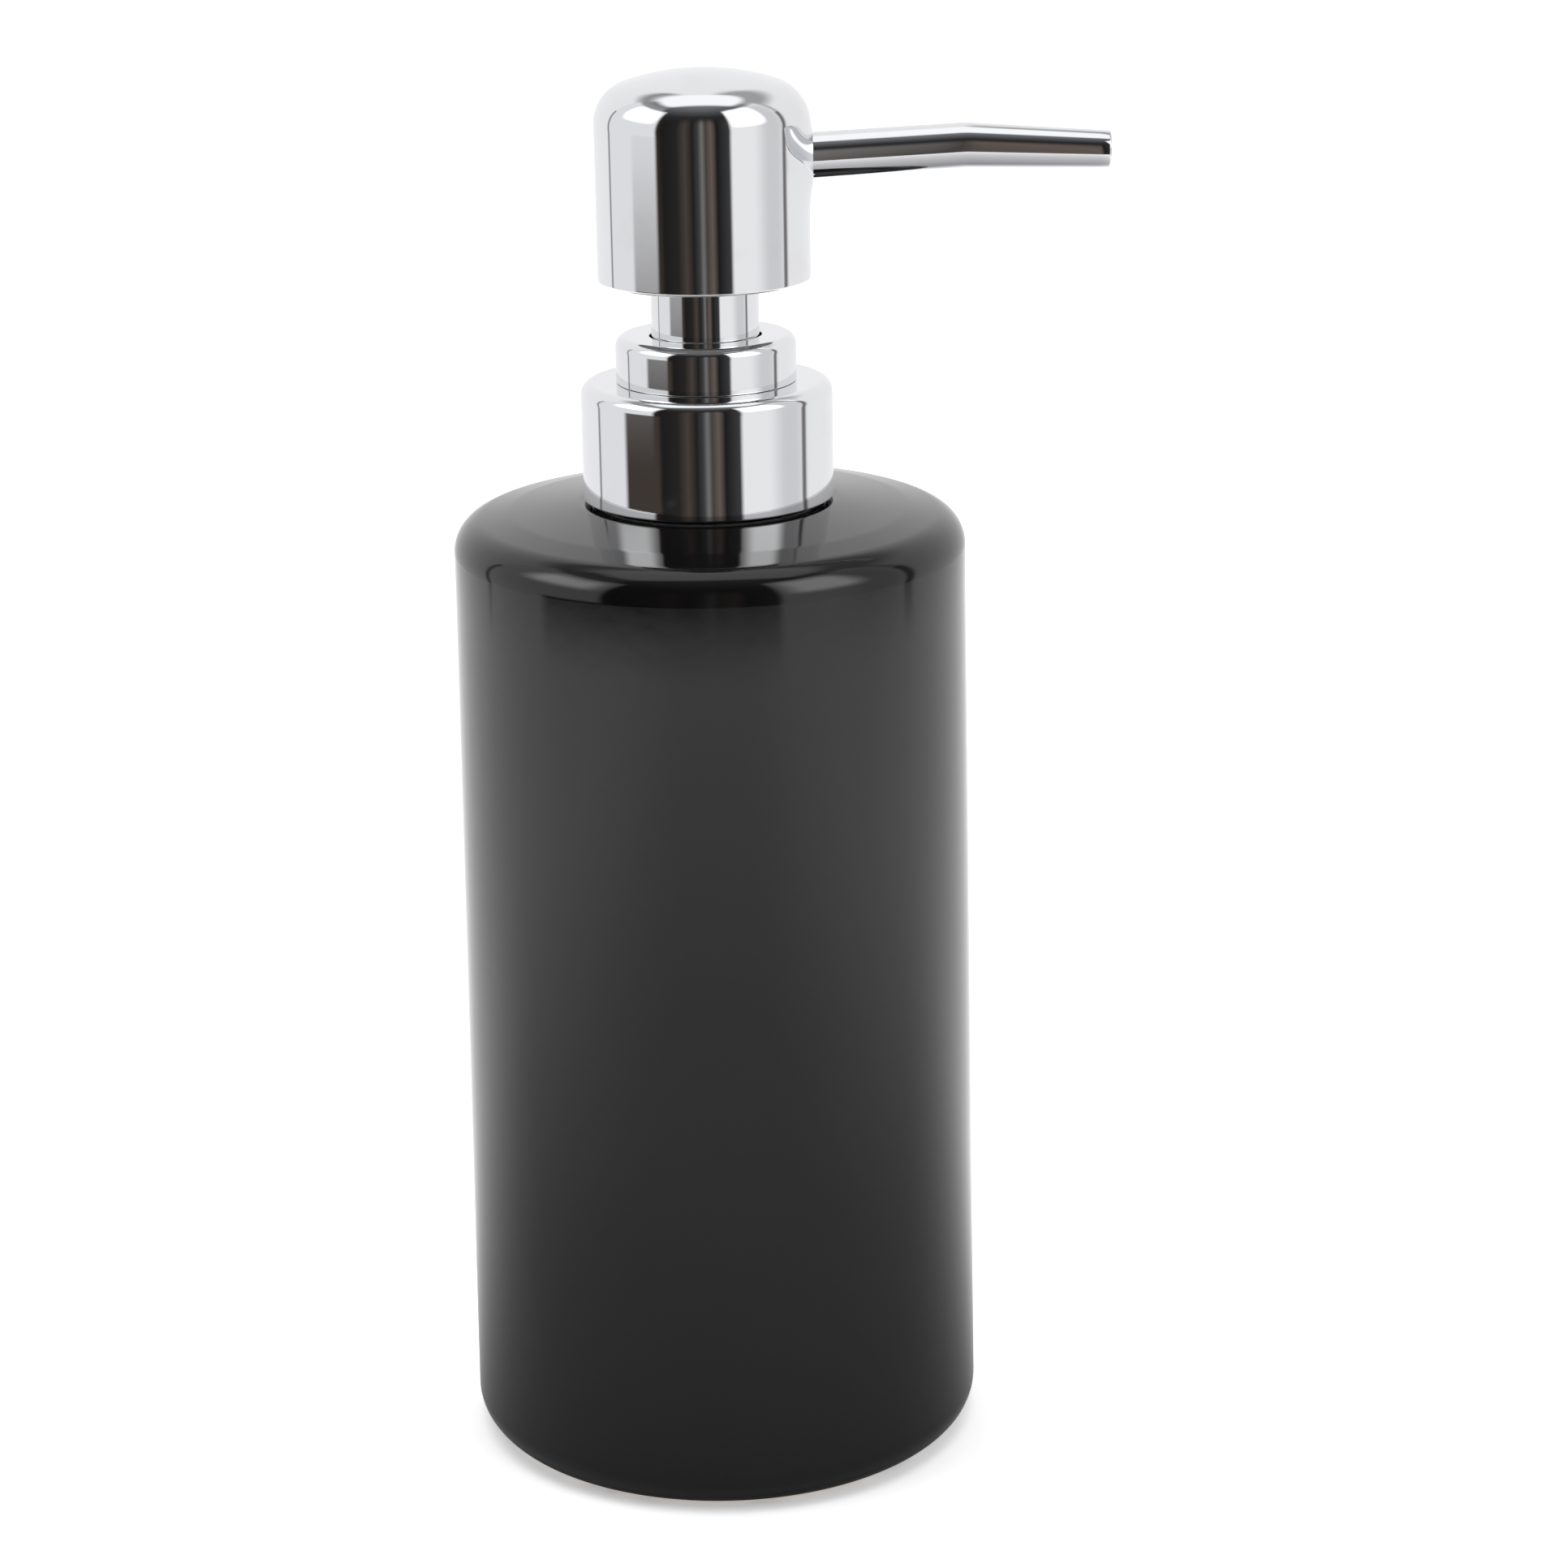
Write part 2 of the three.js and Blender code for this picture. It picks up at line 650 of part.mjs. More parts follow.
// The lower end is cut at 45 degrees, so that the floor can't close it.
function dipTube() {
  const tube = ring(DIP_BORE_R, DIP_R, DIP_BOTTOM_Z, TAIL_STOP_Z - FIT);
  const side = 6 * DIP_R;
  const geometry = new THREE.BoxGeometry(side, side, side);
  geometry.translate(0, 0, -side / 2);
  geometry.rotateY(-Math.PI / 4);
  geometry.translate(0, 0, DIP_BOTTOM_Z + DIP_R);
  return tube.subtract(solidOf(geometry));
}

// ---- Assembly --------------------------------------------------------------

const dispenser = new THREE.Group();

function add(name, solid, look) {
  const mesh = solid.getMesh();
  const geometry = new THREE.BufferGeometry();
  geometry.setAttribute("position", new THREE.BufferAttribute(mesh.vertProperties, 3));
  geometry.setIndex(new THREE.BufferAttribute(mesh.triVerts, 1));
  geometry.computeVertexNormals();
  const piece = new THREE.Mesh(geometry, look);
  piece.name = name;
  dispenser.add(piece);
}

add("bottle", bottle(), glaze);
add("neck_insert", neckInsert(), whitePlastic);
add("neck_gasket", neckGasket(), softSeal);
add("screw_cap", screwCap(), whitePlastic);
add("collar_shell", collarShell(), chrome);
add("guide_ring", guideRing(), chrome);
add("stem_sleeve", stemSleeve(), chrome);
add("head_cap", headCap(), chrome);
add("spout_tube", spoutTube(), chrome);
add("actuator_core", actuatorCore(), whitePlastic);
add("spout_seal", spoutSeal(), blackRubber);
add("pump_housing", pumpHousing(), clearPlastic);
add("housing_plug", housingPlug(), whitePlastic);
add("stem_seal", stemSeal(), blackRubber);
add("stem", stem(), whitePlastic);
add("piston", piston(), softSeal);
add("piston_seat", pistonSeat(), whitePlastic);
add("inlet_ball", inletBall(), glassBall);
add("return_spring", returnSpring(), springSteel);
add("dip_tube", dipTube(), clearPlastic);

export default dispenser;
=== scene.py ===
"""Soap pump dispenser: the finished surface of every piece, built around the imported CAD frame.

Shapes are worked out in millimetres, +Z up, with the origin under the bottle, and stored in metres.
"""
import math

import bmesh
import bpy
from mathutils import Matrix, Vector


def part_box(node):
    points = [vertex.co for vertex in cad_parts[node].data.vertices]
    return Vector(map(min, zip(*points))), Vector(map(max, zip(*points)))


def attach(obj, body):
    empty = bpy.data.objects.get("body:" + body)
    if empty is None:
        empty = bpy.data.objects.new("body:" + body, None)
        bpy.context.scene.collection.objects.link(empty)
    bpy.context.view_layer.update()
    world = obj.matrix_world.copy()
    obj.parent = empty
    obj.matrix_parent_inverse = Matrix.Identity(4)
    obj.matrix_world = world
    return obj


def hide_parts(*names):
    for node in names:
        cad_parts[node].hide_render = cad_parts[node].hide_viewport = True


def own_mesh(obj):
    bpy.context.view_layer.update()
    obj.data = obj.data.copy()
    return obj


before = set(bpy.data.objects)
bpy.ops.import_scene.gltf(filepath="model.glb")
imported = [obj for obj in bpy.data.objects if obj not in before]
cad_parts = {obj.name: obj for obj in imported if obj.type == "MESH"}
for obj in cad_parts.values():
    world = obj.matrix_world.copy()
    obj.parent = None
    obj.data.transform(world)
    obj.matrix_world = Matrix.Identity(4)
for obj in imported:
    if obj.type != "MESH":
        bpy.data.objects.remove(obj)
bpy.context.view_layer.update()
scene = bpy.context.scene

MM = 0.001
TURN = 2 * math.pi

# ---- Sizes shared by several pieces, in millimetres -------------------------

CHROME_WALL = 1.2
FIT = 0.2
RESTING_GAP = 0.03
SOFT_EDGE = 0.12

# How finely meshes are made: the largest turn along a fillet, how close the nearest row stands to
# a corner, the longest gap between rows, and how close two points of a cut mesh are one point.
ARC_STEP = math.radians(9)
SUPPORT = 0.1
LONGEST = 3.0
WELD = 0.003

THREAD_PITCH = 25.4 / 6
THREAD_TURNS = 1.25
THREAD_START_Z = 135.2
CAP_THREAD_DROP = 1.85
CAP_THREAD_LEAD = 0.4


def reach(node):
    """Outer radius, lowest height and highest height of a round CAD node."""
    low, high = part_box(node)
    return high.y / MM, low.z / MM, high.z / MM


# ---- Outlines: lists of (radius, height) -------------------------------------

def rounded(corners, closed=True, step=ARC_STEP):
    """Points through (radius, height, fillet) corners, with each fillet as an arc."""
    points = []
    for i, (r, z, fillet) in enumerate(corners):
        here = Vector((r, z))
        at_end = not closed and i in (0, len(corners) - 1)
        if fillet == 0 or at_end:
            points.append(here)
            continue
        back = Vector(corners[i - 1][:2]) - here
        ahead = Vector(corners[(i + 1) % len(corners)][:2]) - here
        half = back.angle(ahead) / 2
        tangent = min(fillet / math.tan(half), 0.49 * back.length, 0.49 * ahead.length)
        bisector = (back.normalized() + ahead.normalized()).normalized()
        centre = here + bisector * (tangent / math.cos(half))
        first = here + back.normalized() * tangent - centre
        last = here + ahead.normalized() * tangent - centre
        sweep = math.atan2(first.x * last.y - first.y * last.x, first.dot(last))
        steps = max(3, math.ceil(abs(sweep) / step))
        for k in range(steps + 1):
            points.append(centre + Matrix.Rotation(sweep * k / steps, 2) @ first)
    return points


def refined(points, closed=True, longest=LONGEST):
    """The same outline with points close to each corner and no long gaps."""
    dense = []
    count = len(points) if closed else len(points) - 1
    for i in range(count):
        here, ahead = points[i], points[(i + 1) % len(points)]
        dense.append(here)
        length = (ahead - here).length
        if length < 4 * SUPPORT:
            continue
        cuts = max(1, math.ceil(length / longest))
        shares = [k / cuts for k in range(1, cuts)]
        for share in [SUPPORT / length, *shares, 1 - SUPPORT / length]:
            dense.append(here.lerp(ahead, share))
    if not closed:
        dense.append(points[-1])
    return dense


def arc(r, z, radius, start, end, step=ARC_STEP):
    """Points of an arc about (r, z), from one angle to another in degrees."""
    start, end = math.radians(start), math.radians(end)
    steps = max(2, math.ceil(abs(end - start) / step))
    angles = [start + (end - start) * k / steps for k in range(steps + 1)]
    return [Vector((r + radius * math.cos(a), z + radius * math.sin(a))) for a in angles]


# ---- Meshes --------------------------------------------------------------------

def even_angles(count):
    return [TURN * k / count for k in range(count)]


def skin(name, rows, closed):
    """A mesh over rows of points in millimetres. A row of one point closes an end, and two
    such rows one after the other start a new shell."""
    mesh = bmesh.new()
    made = [[mesh.verts.new(p * MM) for p in row] for row in rows]
    pairs = list(zip(made, made[1:]))
    if closed:
        pairs.append((made[-1], made[0]))
    for low, high in pairs:
        count = max(len(low), len(high))
        if count == 1:
            continue
        for k in range(count):
            after = (k + 1) % count
            if len(low) == 1:
                mesh.faces.new((low[0], high[after], high[k]))
            elif len(high) == 1:
                mesh.faces.new((low[k], low[after], high[0]))
            else:
                mesh.faces.new((low[k], low[after], high[after], high[k]))
    bmesh.ops.recalc_face_normals(mesh, faces=mesh.faces)
    return as_object(name, mesh)


def as_object(name, mesh):
    """A scene object from a bmesh, shaded smooth."""
    data = bpy.data.meshes.new(name)
    mesh.to_mesh(data)
    mesh.free()
    data.shade_smooth()
    made = bpy.data.objects.new(name, data)
    scene.collection.objects.link(made)
    return made


def turned(name, outline, sides=160, closed=True, shape=None):
    """A surface turned about +Z. shape moves each point after it is placed."""
    angles = even_angles(sides)
    rows = []
    for r, z in outline:
        spots = angles if r > 1e-6 else [0.0]
        row = [Vector((r * math.cos(a), r * math.sin(a), z)) for a in spots]
        rows.append([shape(p) for p in row] if shape else row)
    return skin(name, rows, closed)


def tube_along(name, stations, sides=96):
    """A closed skin over circles, each given as (centre, axis of the tube, radius)."""
    rows = []
    for centre, axis, radius in stations:
        side = Vector((0, 1, 0))
        up = axis.cross(side).normalized()
        circle = [(math.cos(a) * radius, math.sin(a) * radius) for a in even_angles(sides)]
        rows.append([centre + side * c + up * s for c, s in circle])
    return skin(name, rows, closed=True)


def bar(name, start, end, radius, sides=64):
    """A round bar with softened ends, from one point to another."""
    start, end = Vector(start), Vector(end)
    axis = end - start
    outline = rounded([(0, 0, 0), (radius, 0, SOFT_EDGE), (radius, axis.length, SOFT_EDGE),
                       (0, axis.length, 0)], closed=False)
    made = turned(name, refined(outline, closed=False), sides, closed=False)
    turn = Vector((0, 0, 1)).rotation_difference(axis).to_matrix().to_4x4()
    made.data.transform(Matrix.Translation(start * MM) @ turn)
    return made


def block(name, size, centre, angle=0.0, bevel=SOFT_EDGE):
    """A rectangular block with bevelled edges, turned about +Z."""
    mesh = bmesh.new()
    bmesh.ops.create_cube(mesh, size=1)
    bmesh.ops.scale(mesh, vec=Vector(size) * MM, verts=mesh.verts)
    bmesh.ops.bevel(mesh, geom=mesh.edges[:], offset=bevel * MM, segments=3, profile=0.5,
                    affect="EDGES")
    bmesh.ops.translate(mesh, vec=Vector(centre) * MM, verts=mesh.verts)
    bmesh.ops.rotate(mesh, cent=Vector(), matrix=Matrix.Rotation(angle, 3, "Z"), verts=mesh.verts)
    return as_object(name, mesh)


def combine(target, tools, operation):
    """Joins tools to the target or cuts them from it, keeps only the result, and clears away
    the slivers that this leaves."""
    for tool in tools:
        modifier = target.modifiers.new(tool.name, "BOOLEAN")
        modifier.operation = operation
        modifier.solver = "EXACT"
        modifier.object = tool
    bpy.context.view_layer.update()
    graph = bpy.context.evaluated_depsgraph_get()
    result = bpy.data.meshes.new_from_object(target.evaluated_get(graph))
    target.modifiers.clear()
    target.data = result
    for tool in tools:
        bpy.data.objects.remove(tool)
    mesh = bmesh.new()
    mesh.from_mesh(result)
    bmesh.ops.remove_doubles(mesh, verts=mesh.verts[:], dist=WELD * MM)
    bmesh.ops.dissolve_degenerate(mesh, dist=WELD * MM, edges=mesh.edges[:])
    bmesh.ops.triangulate(mesh, faces=[f for f in mesh.faces if len(f.verts) > 4])
    bmesh.ops.dissolve_degenerate(mesh, dist=WELD * MM, edges=mesh.edges[:])
    mesh.to_mesh(result)
    mesh.free()
    result.shade_smooth()
    result.set_sharp_from_angle(angle=math.radians(42))
    return target


# ---- Node graphs ---------------------------------------------------------------

class Graph:
    """Short calls that add nodes to a material's or the world's node tree."""

    def __init__(self, tree):
        self.tree = tree

    def add(self, kind, **settings):
        node = self.tree.nodes.new("ShaderNode" + kind)
        for name, value in settings.items():
            setattr(node, name, value)
        return node

    def feed(self, socket, value):
        if isinstance(value, bpy.types.NodeSocket):
            self.tree.links.new(value, socket)
        else:
            socket.default_value = value

    def math(self, operation, a, b=0.0):
        node = self.add("Math", operation=operation)
        self.feed(node.inputs[0], a)
        self.feed(node.inputs[1], b)
        return node.outputs[0]

    def span(self, value, low, high, to_low=0.0, to_high=1.0, smooth=True):
        kind = "SMOOTHSTEP" if smooth else "LINEAR"
        node = self.add("MapRange", interpolation_type=kind)
        for socket, given in zip(node.inputs, (value, low, high, to_low, to_high)):
            self.feed(socket, given)
        return node.outputs[0]

    def noise(self, place, scale, detail=3.0, roughness=0.5, stretch=None):
        if stretch:
            mapping = self.add("Mapping")
            self.feed(mapping.inputs["Vector"], place)
            self.feed(mapping.inputs["Scale"], stretch)
            place = mapping.outputs[0]
        node = self.add("TexNoise")
        self.feed(node.inputs["Vector"], place)
        self.feed(node.inputs["Scale"], scale)
        self.feed(node.inputs["Detail"], detail)
        self.feed(node.inputs["Roughness"], roughness)
        return node.outputs["Fac"]

    def mix(self, share, first, second):
        node = self.add("Mix", data_type="RGBA")
        self.feed(node.inputs[0], share)
        self.feed(node.inputs[6], first)
        self.feed(node.inputs[7], second)
        return node.outputs[2]

    def ramp(self, value, stops):
        node = self.add("ValToRGB")
        elements = node.color_ramp.elements
        while len(elements) < len(stops):
            elements.new(0.5)
        for element, (place, colour) in zip(elements, stops):
            element.position = place
            element.color = colour
        self.feed(node.inputs[0], value)
        return node.outputs[0]

    def bump(self, layers):
        """Stacked bumps, each a height and its depth in millimetres."""
        normal = None
        for height, depth in layers:
            node = self.add("Bump")
            self.feed(node.inputs["Strength"], 1.0)
            self.feed(node.inputs["Distance"], depth * MM)
            self.feed(node.inputs["Height"], height)
            if normal:
                self.feed(node.inputs["Normal"], normal)
            normal = node.outputs[0]
        return normal


def grey(value):
    return (value, value, value, 1.0)


def finish_material(name, **sockets):
    """A Principled material, its graph, shader and the point on the piece."""
    made = bpy.data.materials.new(name)
    made.use_nodes = True
    graph = Graph(made.node_tree)
    shader = made.node_tree.nodes["Principled BSDF"]
    for socket, value in sockets.items():
        shader.inputs[socket.replace("_", " ")].default_value = value
    place = graph.add("TexCoord").outputs["Object"]
    return made, graph, shader, place


def edge_wear(graph, low=0.505, high=0.56):
    """1 along worn outside edges, 0 on flats and hollows."""
    return graph.span(graph.add("NewGeometry").outputs["Pointiness"], low, high)


# ---- Materials -----------------------------------------------------------------

def chrome_plate():
    """Bright plate: clear reflections, a faint wave, hairlines and the odd dried smudge."""
    made, graph, shader, place = finish_material("chrome_plate", Metallic=1.0)
    wave = graph.noise(place, 55, 2)
    smudge = graph.noise(place, 130, 5, 0.62)
    speck = graph.noise(place, 2600, 2)
    hairline = graph.noise(place, 900, 3, 0.6, stretch=(1.0, 1.0, 9.0))
    worn = edge_wear(graph)
    smeared = graph.span(smudge, 0.52, 0.78)
    tint = graph.mix(smeared, (0.775, 0.78, 0.79, 1), (0.75, 0.75, 0.752, 1))
    tint = graph.mix(graph.math("MULTIPLY", worn, 0.35), tint, (0.70, 0.695, 0.68, 1))
    graph.feed(shader.inputs["Base Color"], tint)
    gloss = graph.span(smeared, 0, 1, 0.022, 0.06)
    gloss = graph.math("ADD", gloss, graph.math("MULTIPLY", worn, 0.035))
    gloss = graph.math("ADD", gloss, graph.span(speck, 0.66, 0.8, 0, 0.03))
    graph.feed(shader.inputs["Roughness"], gloss)
    layers = [(wave, 0.018), (hairline, 0.00012), (speck, 0.00012)]
    graph.feed(shader.inputs["Normal"], graph.bump(layers))
    return made


def black_glaze():
    """Deep black gloss glaze over clay, which shows bare on the foot's underside."""
    made, graph, shader, place = finish_material("black_glaze", IOR=1.5)
    axes = graph.add("SeparateXYZ")
    graph.feed(axes.inputs[0], place)
    height = axes.outputs[2]
    pool = graph.noise(place, 38, 4, 0.55)
    peel = graph.noise(place, 620, 2, 0.45)
    pores = graph.noise(place, 3200, 3, 0.6)
    grit = graph.noise(place, 5200, 4, 0.7)
    line = graph.math("ADD", height, graph.span(graph.noise(place, 240, 3), 0, 1, -0.0003, 0.0003))
    glazed = graph.span(line, 0.0002, 0.0004)
    pinhole = graph.span(pores, 0.74, 0.8)
    black = graph.ramp(pool, [(0.3, (0.0028, 0.0028, 0.003, 1)),
                              (0.7, (0.0046, 0.0042, 0.0042, 1))])
    black = graph.mix(edge_wear(graph, 0.51, 0.56), black, (0.011, 0.009, 0.008, 1))
    clay = graph.ramp(grit, [(0.3, (0.30, 0.235, 0.175, 1)), (0.7, (0.43, 0.35, 0.27, 1))])
    graph.feed(shader.inputs["Base Color"], graph.mix(glazed, clay, black))
    gloss = graph.span(pool, 0.3, 0.75, 0.035, 0.075)
    gloss = graph.math("ADD", gloss, graph.math("MULTIPLY", pinhole, 0.12))
    unglazed = graph.math("SUBTRACT", 1, glazed)
    bare = graph.math("MULTIPLY", graph.span(grit, 0, 1, 0.78, 0.95), unglazed)
    graph.feed(shader.inputs["Roughness"], graph.math("MAXIMUM", gloss, bare))
    bare_grain = graph.math("MULTIPLY", grit, unglazed)
    sunk = graph.math("SUBTRACT", 1, pinhole)
    layers = [(pool, 0.03), (peel, 0.0012), (sunk, 0.002), (bare_grain, 0.08)]
    graph.feed(shader.inputs["Normal"], graph.bump(layers))
    return made


def moulded_plastic(name, first, second, low, high, grain, **sockets):
    """Moulded plastic: cloudy colour, uneven sheen, a fine moulded grain and rubbed edges."""
    made, graph, shader, place = finish_material(name, **sockets)
    cloud = graph.noise(place, 90, 4, 0.55)
    flow = graph.noise(place, 160, 3, 0.5, stretch=(1.0, 1.0, 0.25))
    texture = graph.noise(place, 4200, 3, 0.6)
    worn = edge_wear(graph)
    colour = graph.ramp(cloud, [(0.3, first), (0.7, second)])
    rubbed = tuple(min(1.0, 1.12 * c) for c in second[:3]) + (1,)
    colour = graph.mix(graph.math("MULTIPLY", worn, 0.4), colour, rubbed)
    graph.feed(shader.inputs["Base Color"], colour)
    sheen = graph.span(flow, 0.3, 0.7, low, high)
    sheen = graph.math("ADD", sheen, graph.math("MULTIPLY", worn, -0.08))
    graph.feed(shader.inputs["Roughness"], sheen)
    graph.feed(shader.inputs["Normal"], graph.bump([(flow, 0.006), (texture, grain)]))
    return made


def white_plastic():
    return moulded_plastic("white_plastic", (0.77, 0.77, 0.745, 1), (0.84, 0.84, 0.82, 1),
                           0.34, 0.5, 0.004, Subsurface_Weight=0.12, Subsurface_Scale=0.002)


def natural_plastic():
    return moulded_plastic("natural_plastic", (0.70, 0.73, 0.735, 1), (0.82, 0.84, 0.84, 1),
                           0.2, 0.36, 0.002, Transmission_Weight=0.38, IOR=1.49,
                           Subsurface_Weight=0.35, Subsurface_Scale=0.003)


def soft_seal():
    return moulded_plastic("soft_seal", (0.48, 0.51, 0.51, 1), (0.57, 0.60, 0.60, 1),
                           0.5, 0.66, 0.005, Subsurface_Weight=0.1, Subsurface_Scale=0.001)


def black_rubber():
    return moulded_plastic("black_rubber", (0.014, 0.014, 0.015, 1), (0.03, 0.029, 0.028, 1),
                           0.55, 0.75, 0.006)


def spring_wire():
    """Drawn stainless wire, with draw lines and a straw tint where it was set."""
    made, graph, shader, place = finish_material("spring_wire", Metallic=1.0)
    drawn = graph.noise(place, 5200, 3, 0.6, stretch=(1.0, 1.0, 6.0))
    heat = graph.noise(place, 210, 3)
    steel = graph.ramp(heat, [(0.35, (0.55, 0.56, 0.58, 1)), (0.75, (0.60, 0.56, 0.50, 1))])
    graph.feed(shader.inputs["Base Color"], steel)
    graph.feed(shader.inputs["Roughness"], graph.span(drawn, 0.2, 0.8, 0.17, 0.34))
    graph.feed(shader.inputs["Normal"], graph.bump([(drawn, 0.003)]))
    return made


def valve_glass():
    """A ground glass valve ball, faintly green, with fine grinding marks."""
    made, graph, shader, place = finish_material("valve_glass", IOR=1.52, Transmission_Weight=0.9)
    tint = graph.noise(place, 420, 2)
    ground = graph.noise(place, 6000, 3, 0.6)
    colour = graph.ramp(tint, [(0.3, (0.66, 0.80, 0.75, 1)), (0.7, (0.76, 0.87, 0.83, 1))])
    graph.feed(shader.inputs["Base Color"], colour)
    graph.feed(shader.inputs["Roughness"], graph.span(ground, 0.3, 0.8, 0.03, 0.14))
    graph.feed(shader.inputs["Normal"], graph.bump([(ground, 0.0015)]))
    return made


LOOKS = {
    "glaze": black_glaze(),
    "chrome": chrome_plate(),
    "white_plastic": white_plastic(),
    "natural_plastic": natural_plastic(),
    "soft_seal": soft_seal(),
    "black_rubber": black_rubber(),
    "spring_steel": spring_wire(),
    "ball_glass": valve_glass(),
}


def put(piece, node, body, slot):
    """Gives a finished piece its material and puts it in the frame for its CAD node."""
    piece.data.materials.clear()
    piece.data.materials.append(LOOKS[slot])
    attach(piece, body)
    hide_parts(node)
    return piece


# ---- Bottle ----------------------------------------------------------------------

def bottle():
    """Slip-cast cylinder: rounded foot, shallow domed top, a foot ring and a thick wall."""
    foot_r, _, top = reach("bottle")
    shoulder_r, mouth_r = foot_r - 1, 13.6
    foot_round, shoulder_round, inner_round, mouth_round = 5.4, 5.0, 5.0, 0.8
    seat_r, seat_drop, seat_round = 17.2, 0.05, 6
    dome_r, dome_drop, dome_round = 26.5, 1.2, 12
    shoulder_drop = 2.6
    glaze_wave = 0.03
    wall, floor = 4.0, 5.0
    ring_inner_r, recess = 24.5, 0.7
    ceiling = top - wall
    lean = (foot_r - shoulder_r) * foot_round / (top - shoulder_round - foot_round)
    outline = rounded([
        (0, recess, 0),
        (ring_inner_r, recess, 0.5),
        (ring_inner_r + 0.6, 0, 0.6),
        (foot_r + lean, 0, foot_round),
        (shoulder_r - lean, top - shoulder_drop, shoulder_round),
        (dome_r, top - dome_drop, dome_round),
        (seat_r, top - seat_drop, seat_round),
        (mouth_r + mouth_round, top, mouth_round),
        (mouth_r, top, mouth_round),
        (mouth_r, ceiling, mouth_round),
        (shoulder_r - wall, ceiling, inner_round),
        (foot_r - wall, floor, inner_round),
        (0, floor, 0),
    ], closed=False, step=math.radians(3))

    def hand_glazed(p):
        """A glaze coat is never quite even: a few hundredths, in slow waves."""
        r = math.hypot(p.x, p.y)
        if r < mouth_r + 2 or p.z < foot_round / 2:
            return p
        a = math.atan2(p.y, p.x)
        swell = math.sin(2 * a + 0.7 + p.z / 47) + 0.6 * math.sin(3 * a - 1.1 - p.z / 29)
        fade = min(1, (r - mouth_r - 2) / 6)
        return Vector((p.x, p.y, p.z)) + Vector((p.x, p.y, 0)) * (glaze_wave * fade * swell / r)

    made = turned("bottle_finished", refined(outline, closed=False), 320, closed=False,
                  shape=hand_glazed)
    return put(made, "bottle", "bottle", "glaze")


# ---- Threaded neck and closure -----------------------------------------------------

def thread_ridge(p, drop, lead, height, half_width):
    """Height of a screw ridge at a point: a rounded buttress that fades at both ends."""
    share = (math.atan2(p.y, p.x) / TURN - lead) % 1
    ridge = 0.0
    for whole in (0, 1):
        turns = share + whole
        if turns > THREAD_TURNS:
            continue
        offset = p.z - (THREAD_START_Z - drop + THREAD_PITCH * (turns + lead))
        ends = min(1.0, turns / 0.08, (THREAD_TURNS - turns) / 0.08)
        side = max(0.0, 1 - (abs(offset) / half_width) ** 3)
        ridge = max(ridge, height * side * max(0.0, ends))
    return ridge


def neck_insert():
    """Threaded plastic neck glued into the ceramic mouth."""
    flange_r, skirt_z, top = reach("neck_insert")
    flange_low = reach("bottle")[2] + FIT
    flange_t, core_r, bore_r, skirt_r = 0.9, 12.45, 10.7, 13.4
    ridge_h, ridge_half = 1.0, 0.85
    outline = rounded([
        (bore_r, skirt_z, SOFT_EDGE),
        (skirt_r, skirt_z, 0.3),
        (skirt_r, flange_low, SOFT_EDGE),
        (flange_r, flange_low, 0.15),
        (flange_r, flange_low + flange_t, 0.25),
        (core_r, flange_low + flange_t, 0.3),
        (core_r, top, 0.4),
        (bore_r, top, 0.2),
    ])

    def threaded(p):
        r = math.hypot(p.x, p.y)
        if abs(r - core_r) > 0.01 or p.z < flange_low + flange_t:
            return p
        ridge = thread_ridge(p, 0, 0, ridge_h, ridge_half)
        return Vector((p.x * (1 + ridge / r), p.y * (1 + ridge / r), p.z))

    made = turned("neck_insert_finished", refined(outline, longest=0.14), 144, shape=threaded)
    return put(made, "neck_insert", "bottle", "white_plastic")


def screw_cap():
    """Threaded closure inside the collar, with fine grip ribs round the outside."""
    out_r, low, top = reach("screw_cap")
    bore_r, hole_r, roof = 13.95, 9.95, 1.2
    ridge_h, ridge_half = 1.0, 0.85
    ribs, rib_depth = 72, 0.16
    outline = rounded([
        (bore_r, low, 0.3),
        (out_r, low, 0.3),
        (out_r, top, 0.4),
        (hole_r, top, 0.2),
        (hole_r, top - roof, SOFT_EDGE),
        (bore_r, top - roof, 0.3),
    ])

    def detailed(p):
        r = math.hypot(p.x, p.y)
        change = 0.0
        if abs(r - out_r) < 0.01 and low + 1 < p.z < top - 1:
            change = -rib_depth * (0.5 - 0.5 * math.cos(ribs * math.atan2(p.y, p.x)))
        elif abs(r - bore_r) < 0.01 and p.z < top - roof - 0.4:
            change = -thread_ridge(p, CAP_THREAD_DROP, CAP_THREAD_LEAD, ridge_h, ridge_half)
        return Vector((p.x * (1 + change / r), p.y * (1 + change / r), p.z))

    made = turned("screw_cap_finished", refined(outline, longest=0.16), 432, shape=detailed)
    return put(made, "screw_cap", "closure", "white_plastic")


def neck_gasket():
    """Soft flat ring with two raised sealing beads."""
    out_r, low, top = reach("neck_gasket")
    inner_r = 10.7
    outline = refined(rounded([(inner_r, low, 0.15), (out_r, low, 0.15), (out_r, top, 0.15),
                               (inner_r, top, 0.15)]), longest=0.25)
    middle, face = (low + top) / 2, (top - low) / 2 - 0.02

    def beaded(p):
        if abs(p.z - middle) < face:
            return p
        r = math.hypot(p.x, p.y)
        dip = 0.05 * (0.5 + 0.5 * math.cos(TURN * 2 * (r - inner_r) / (out_r - inner_r)))
        return Vector((p.x, p.y, p.z - math.copysign(dip, p.z - middle)))

    made = turned("neck_gasket_finished", outline, 128, shape=beaded)
    return put(made, "neck_gasket", "pump_unit", "soft_seal")


# ---- Chromed outer pieces ------------------------------------------------------------

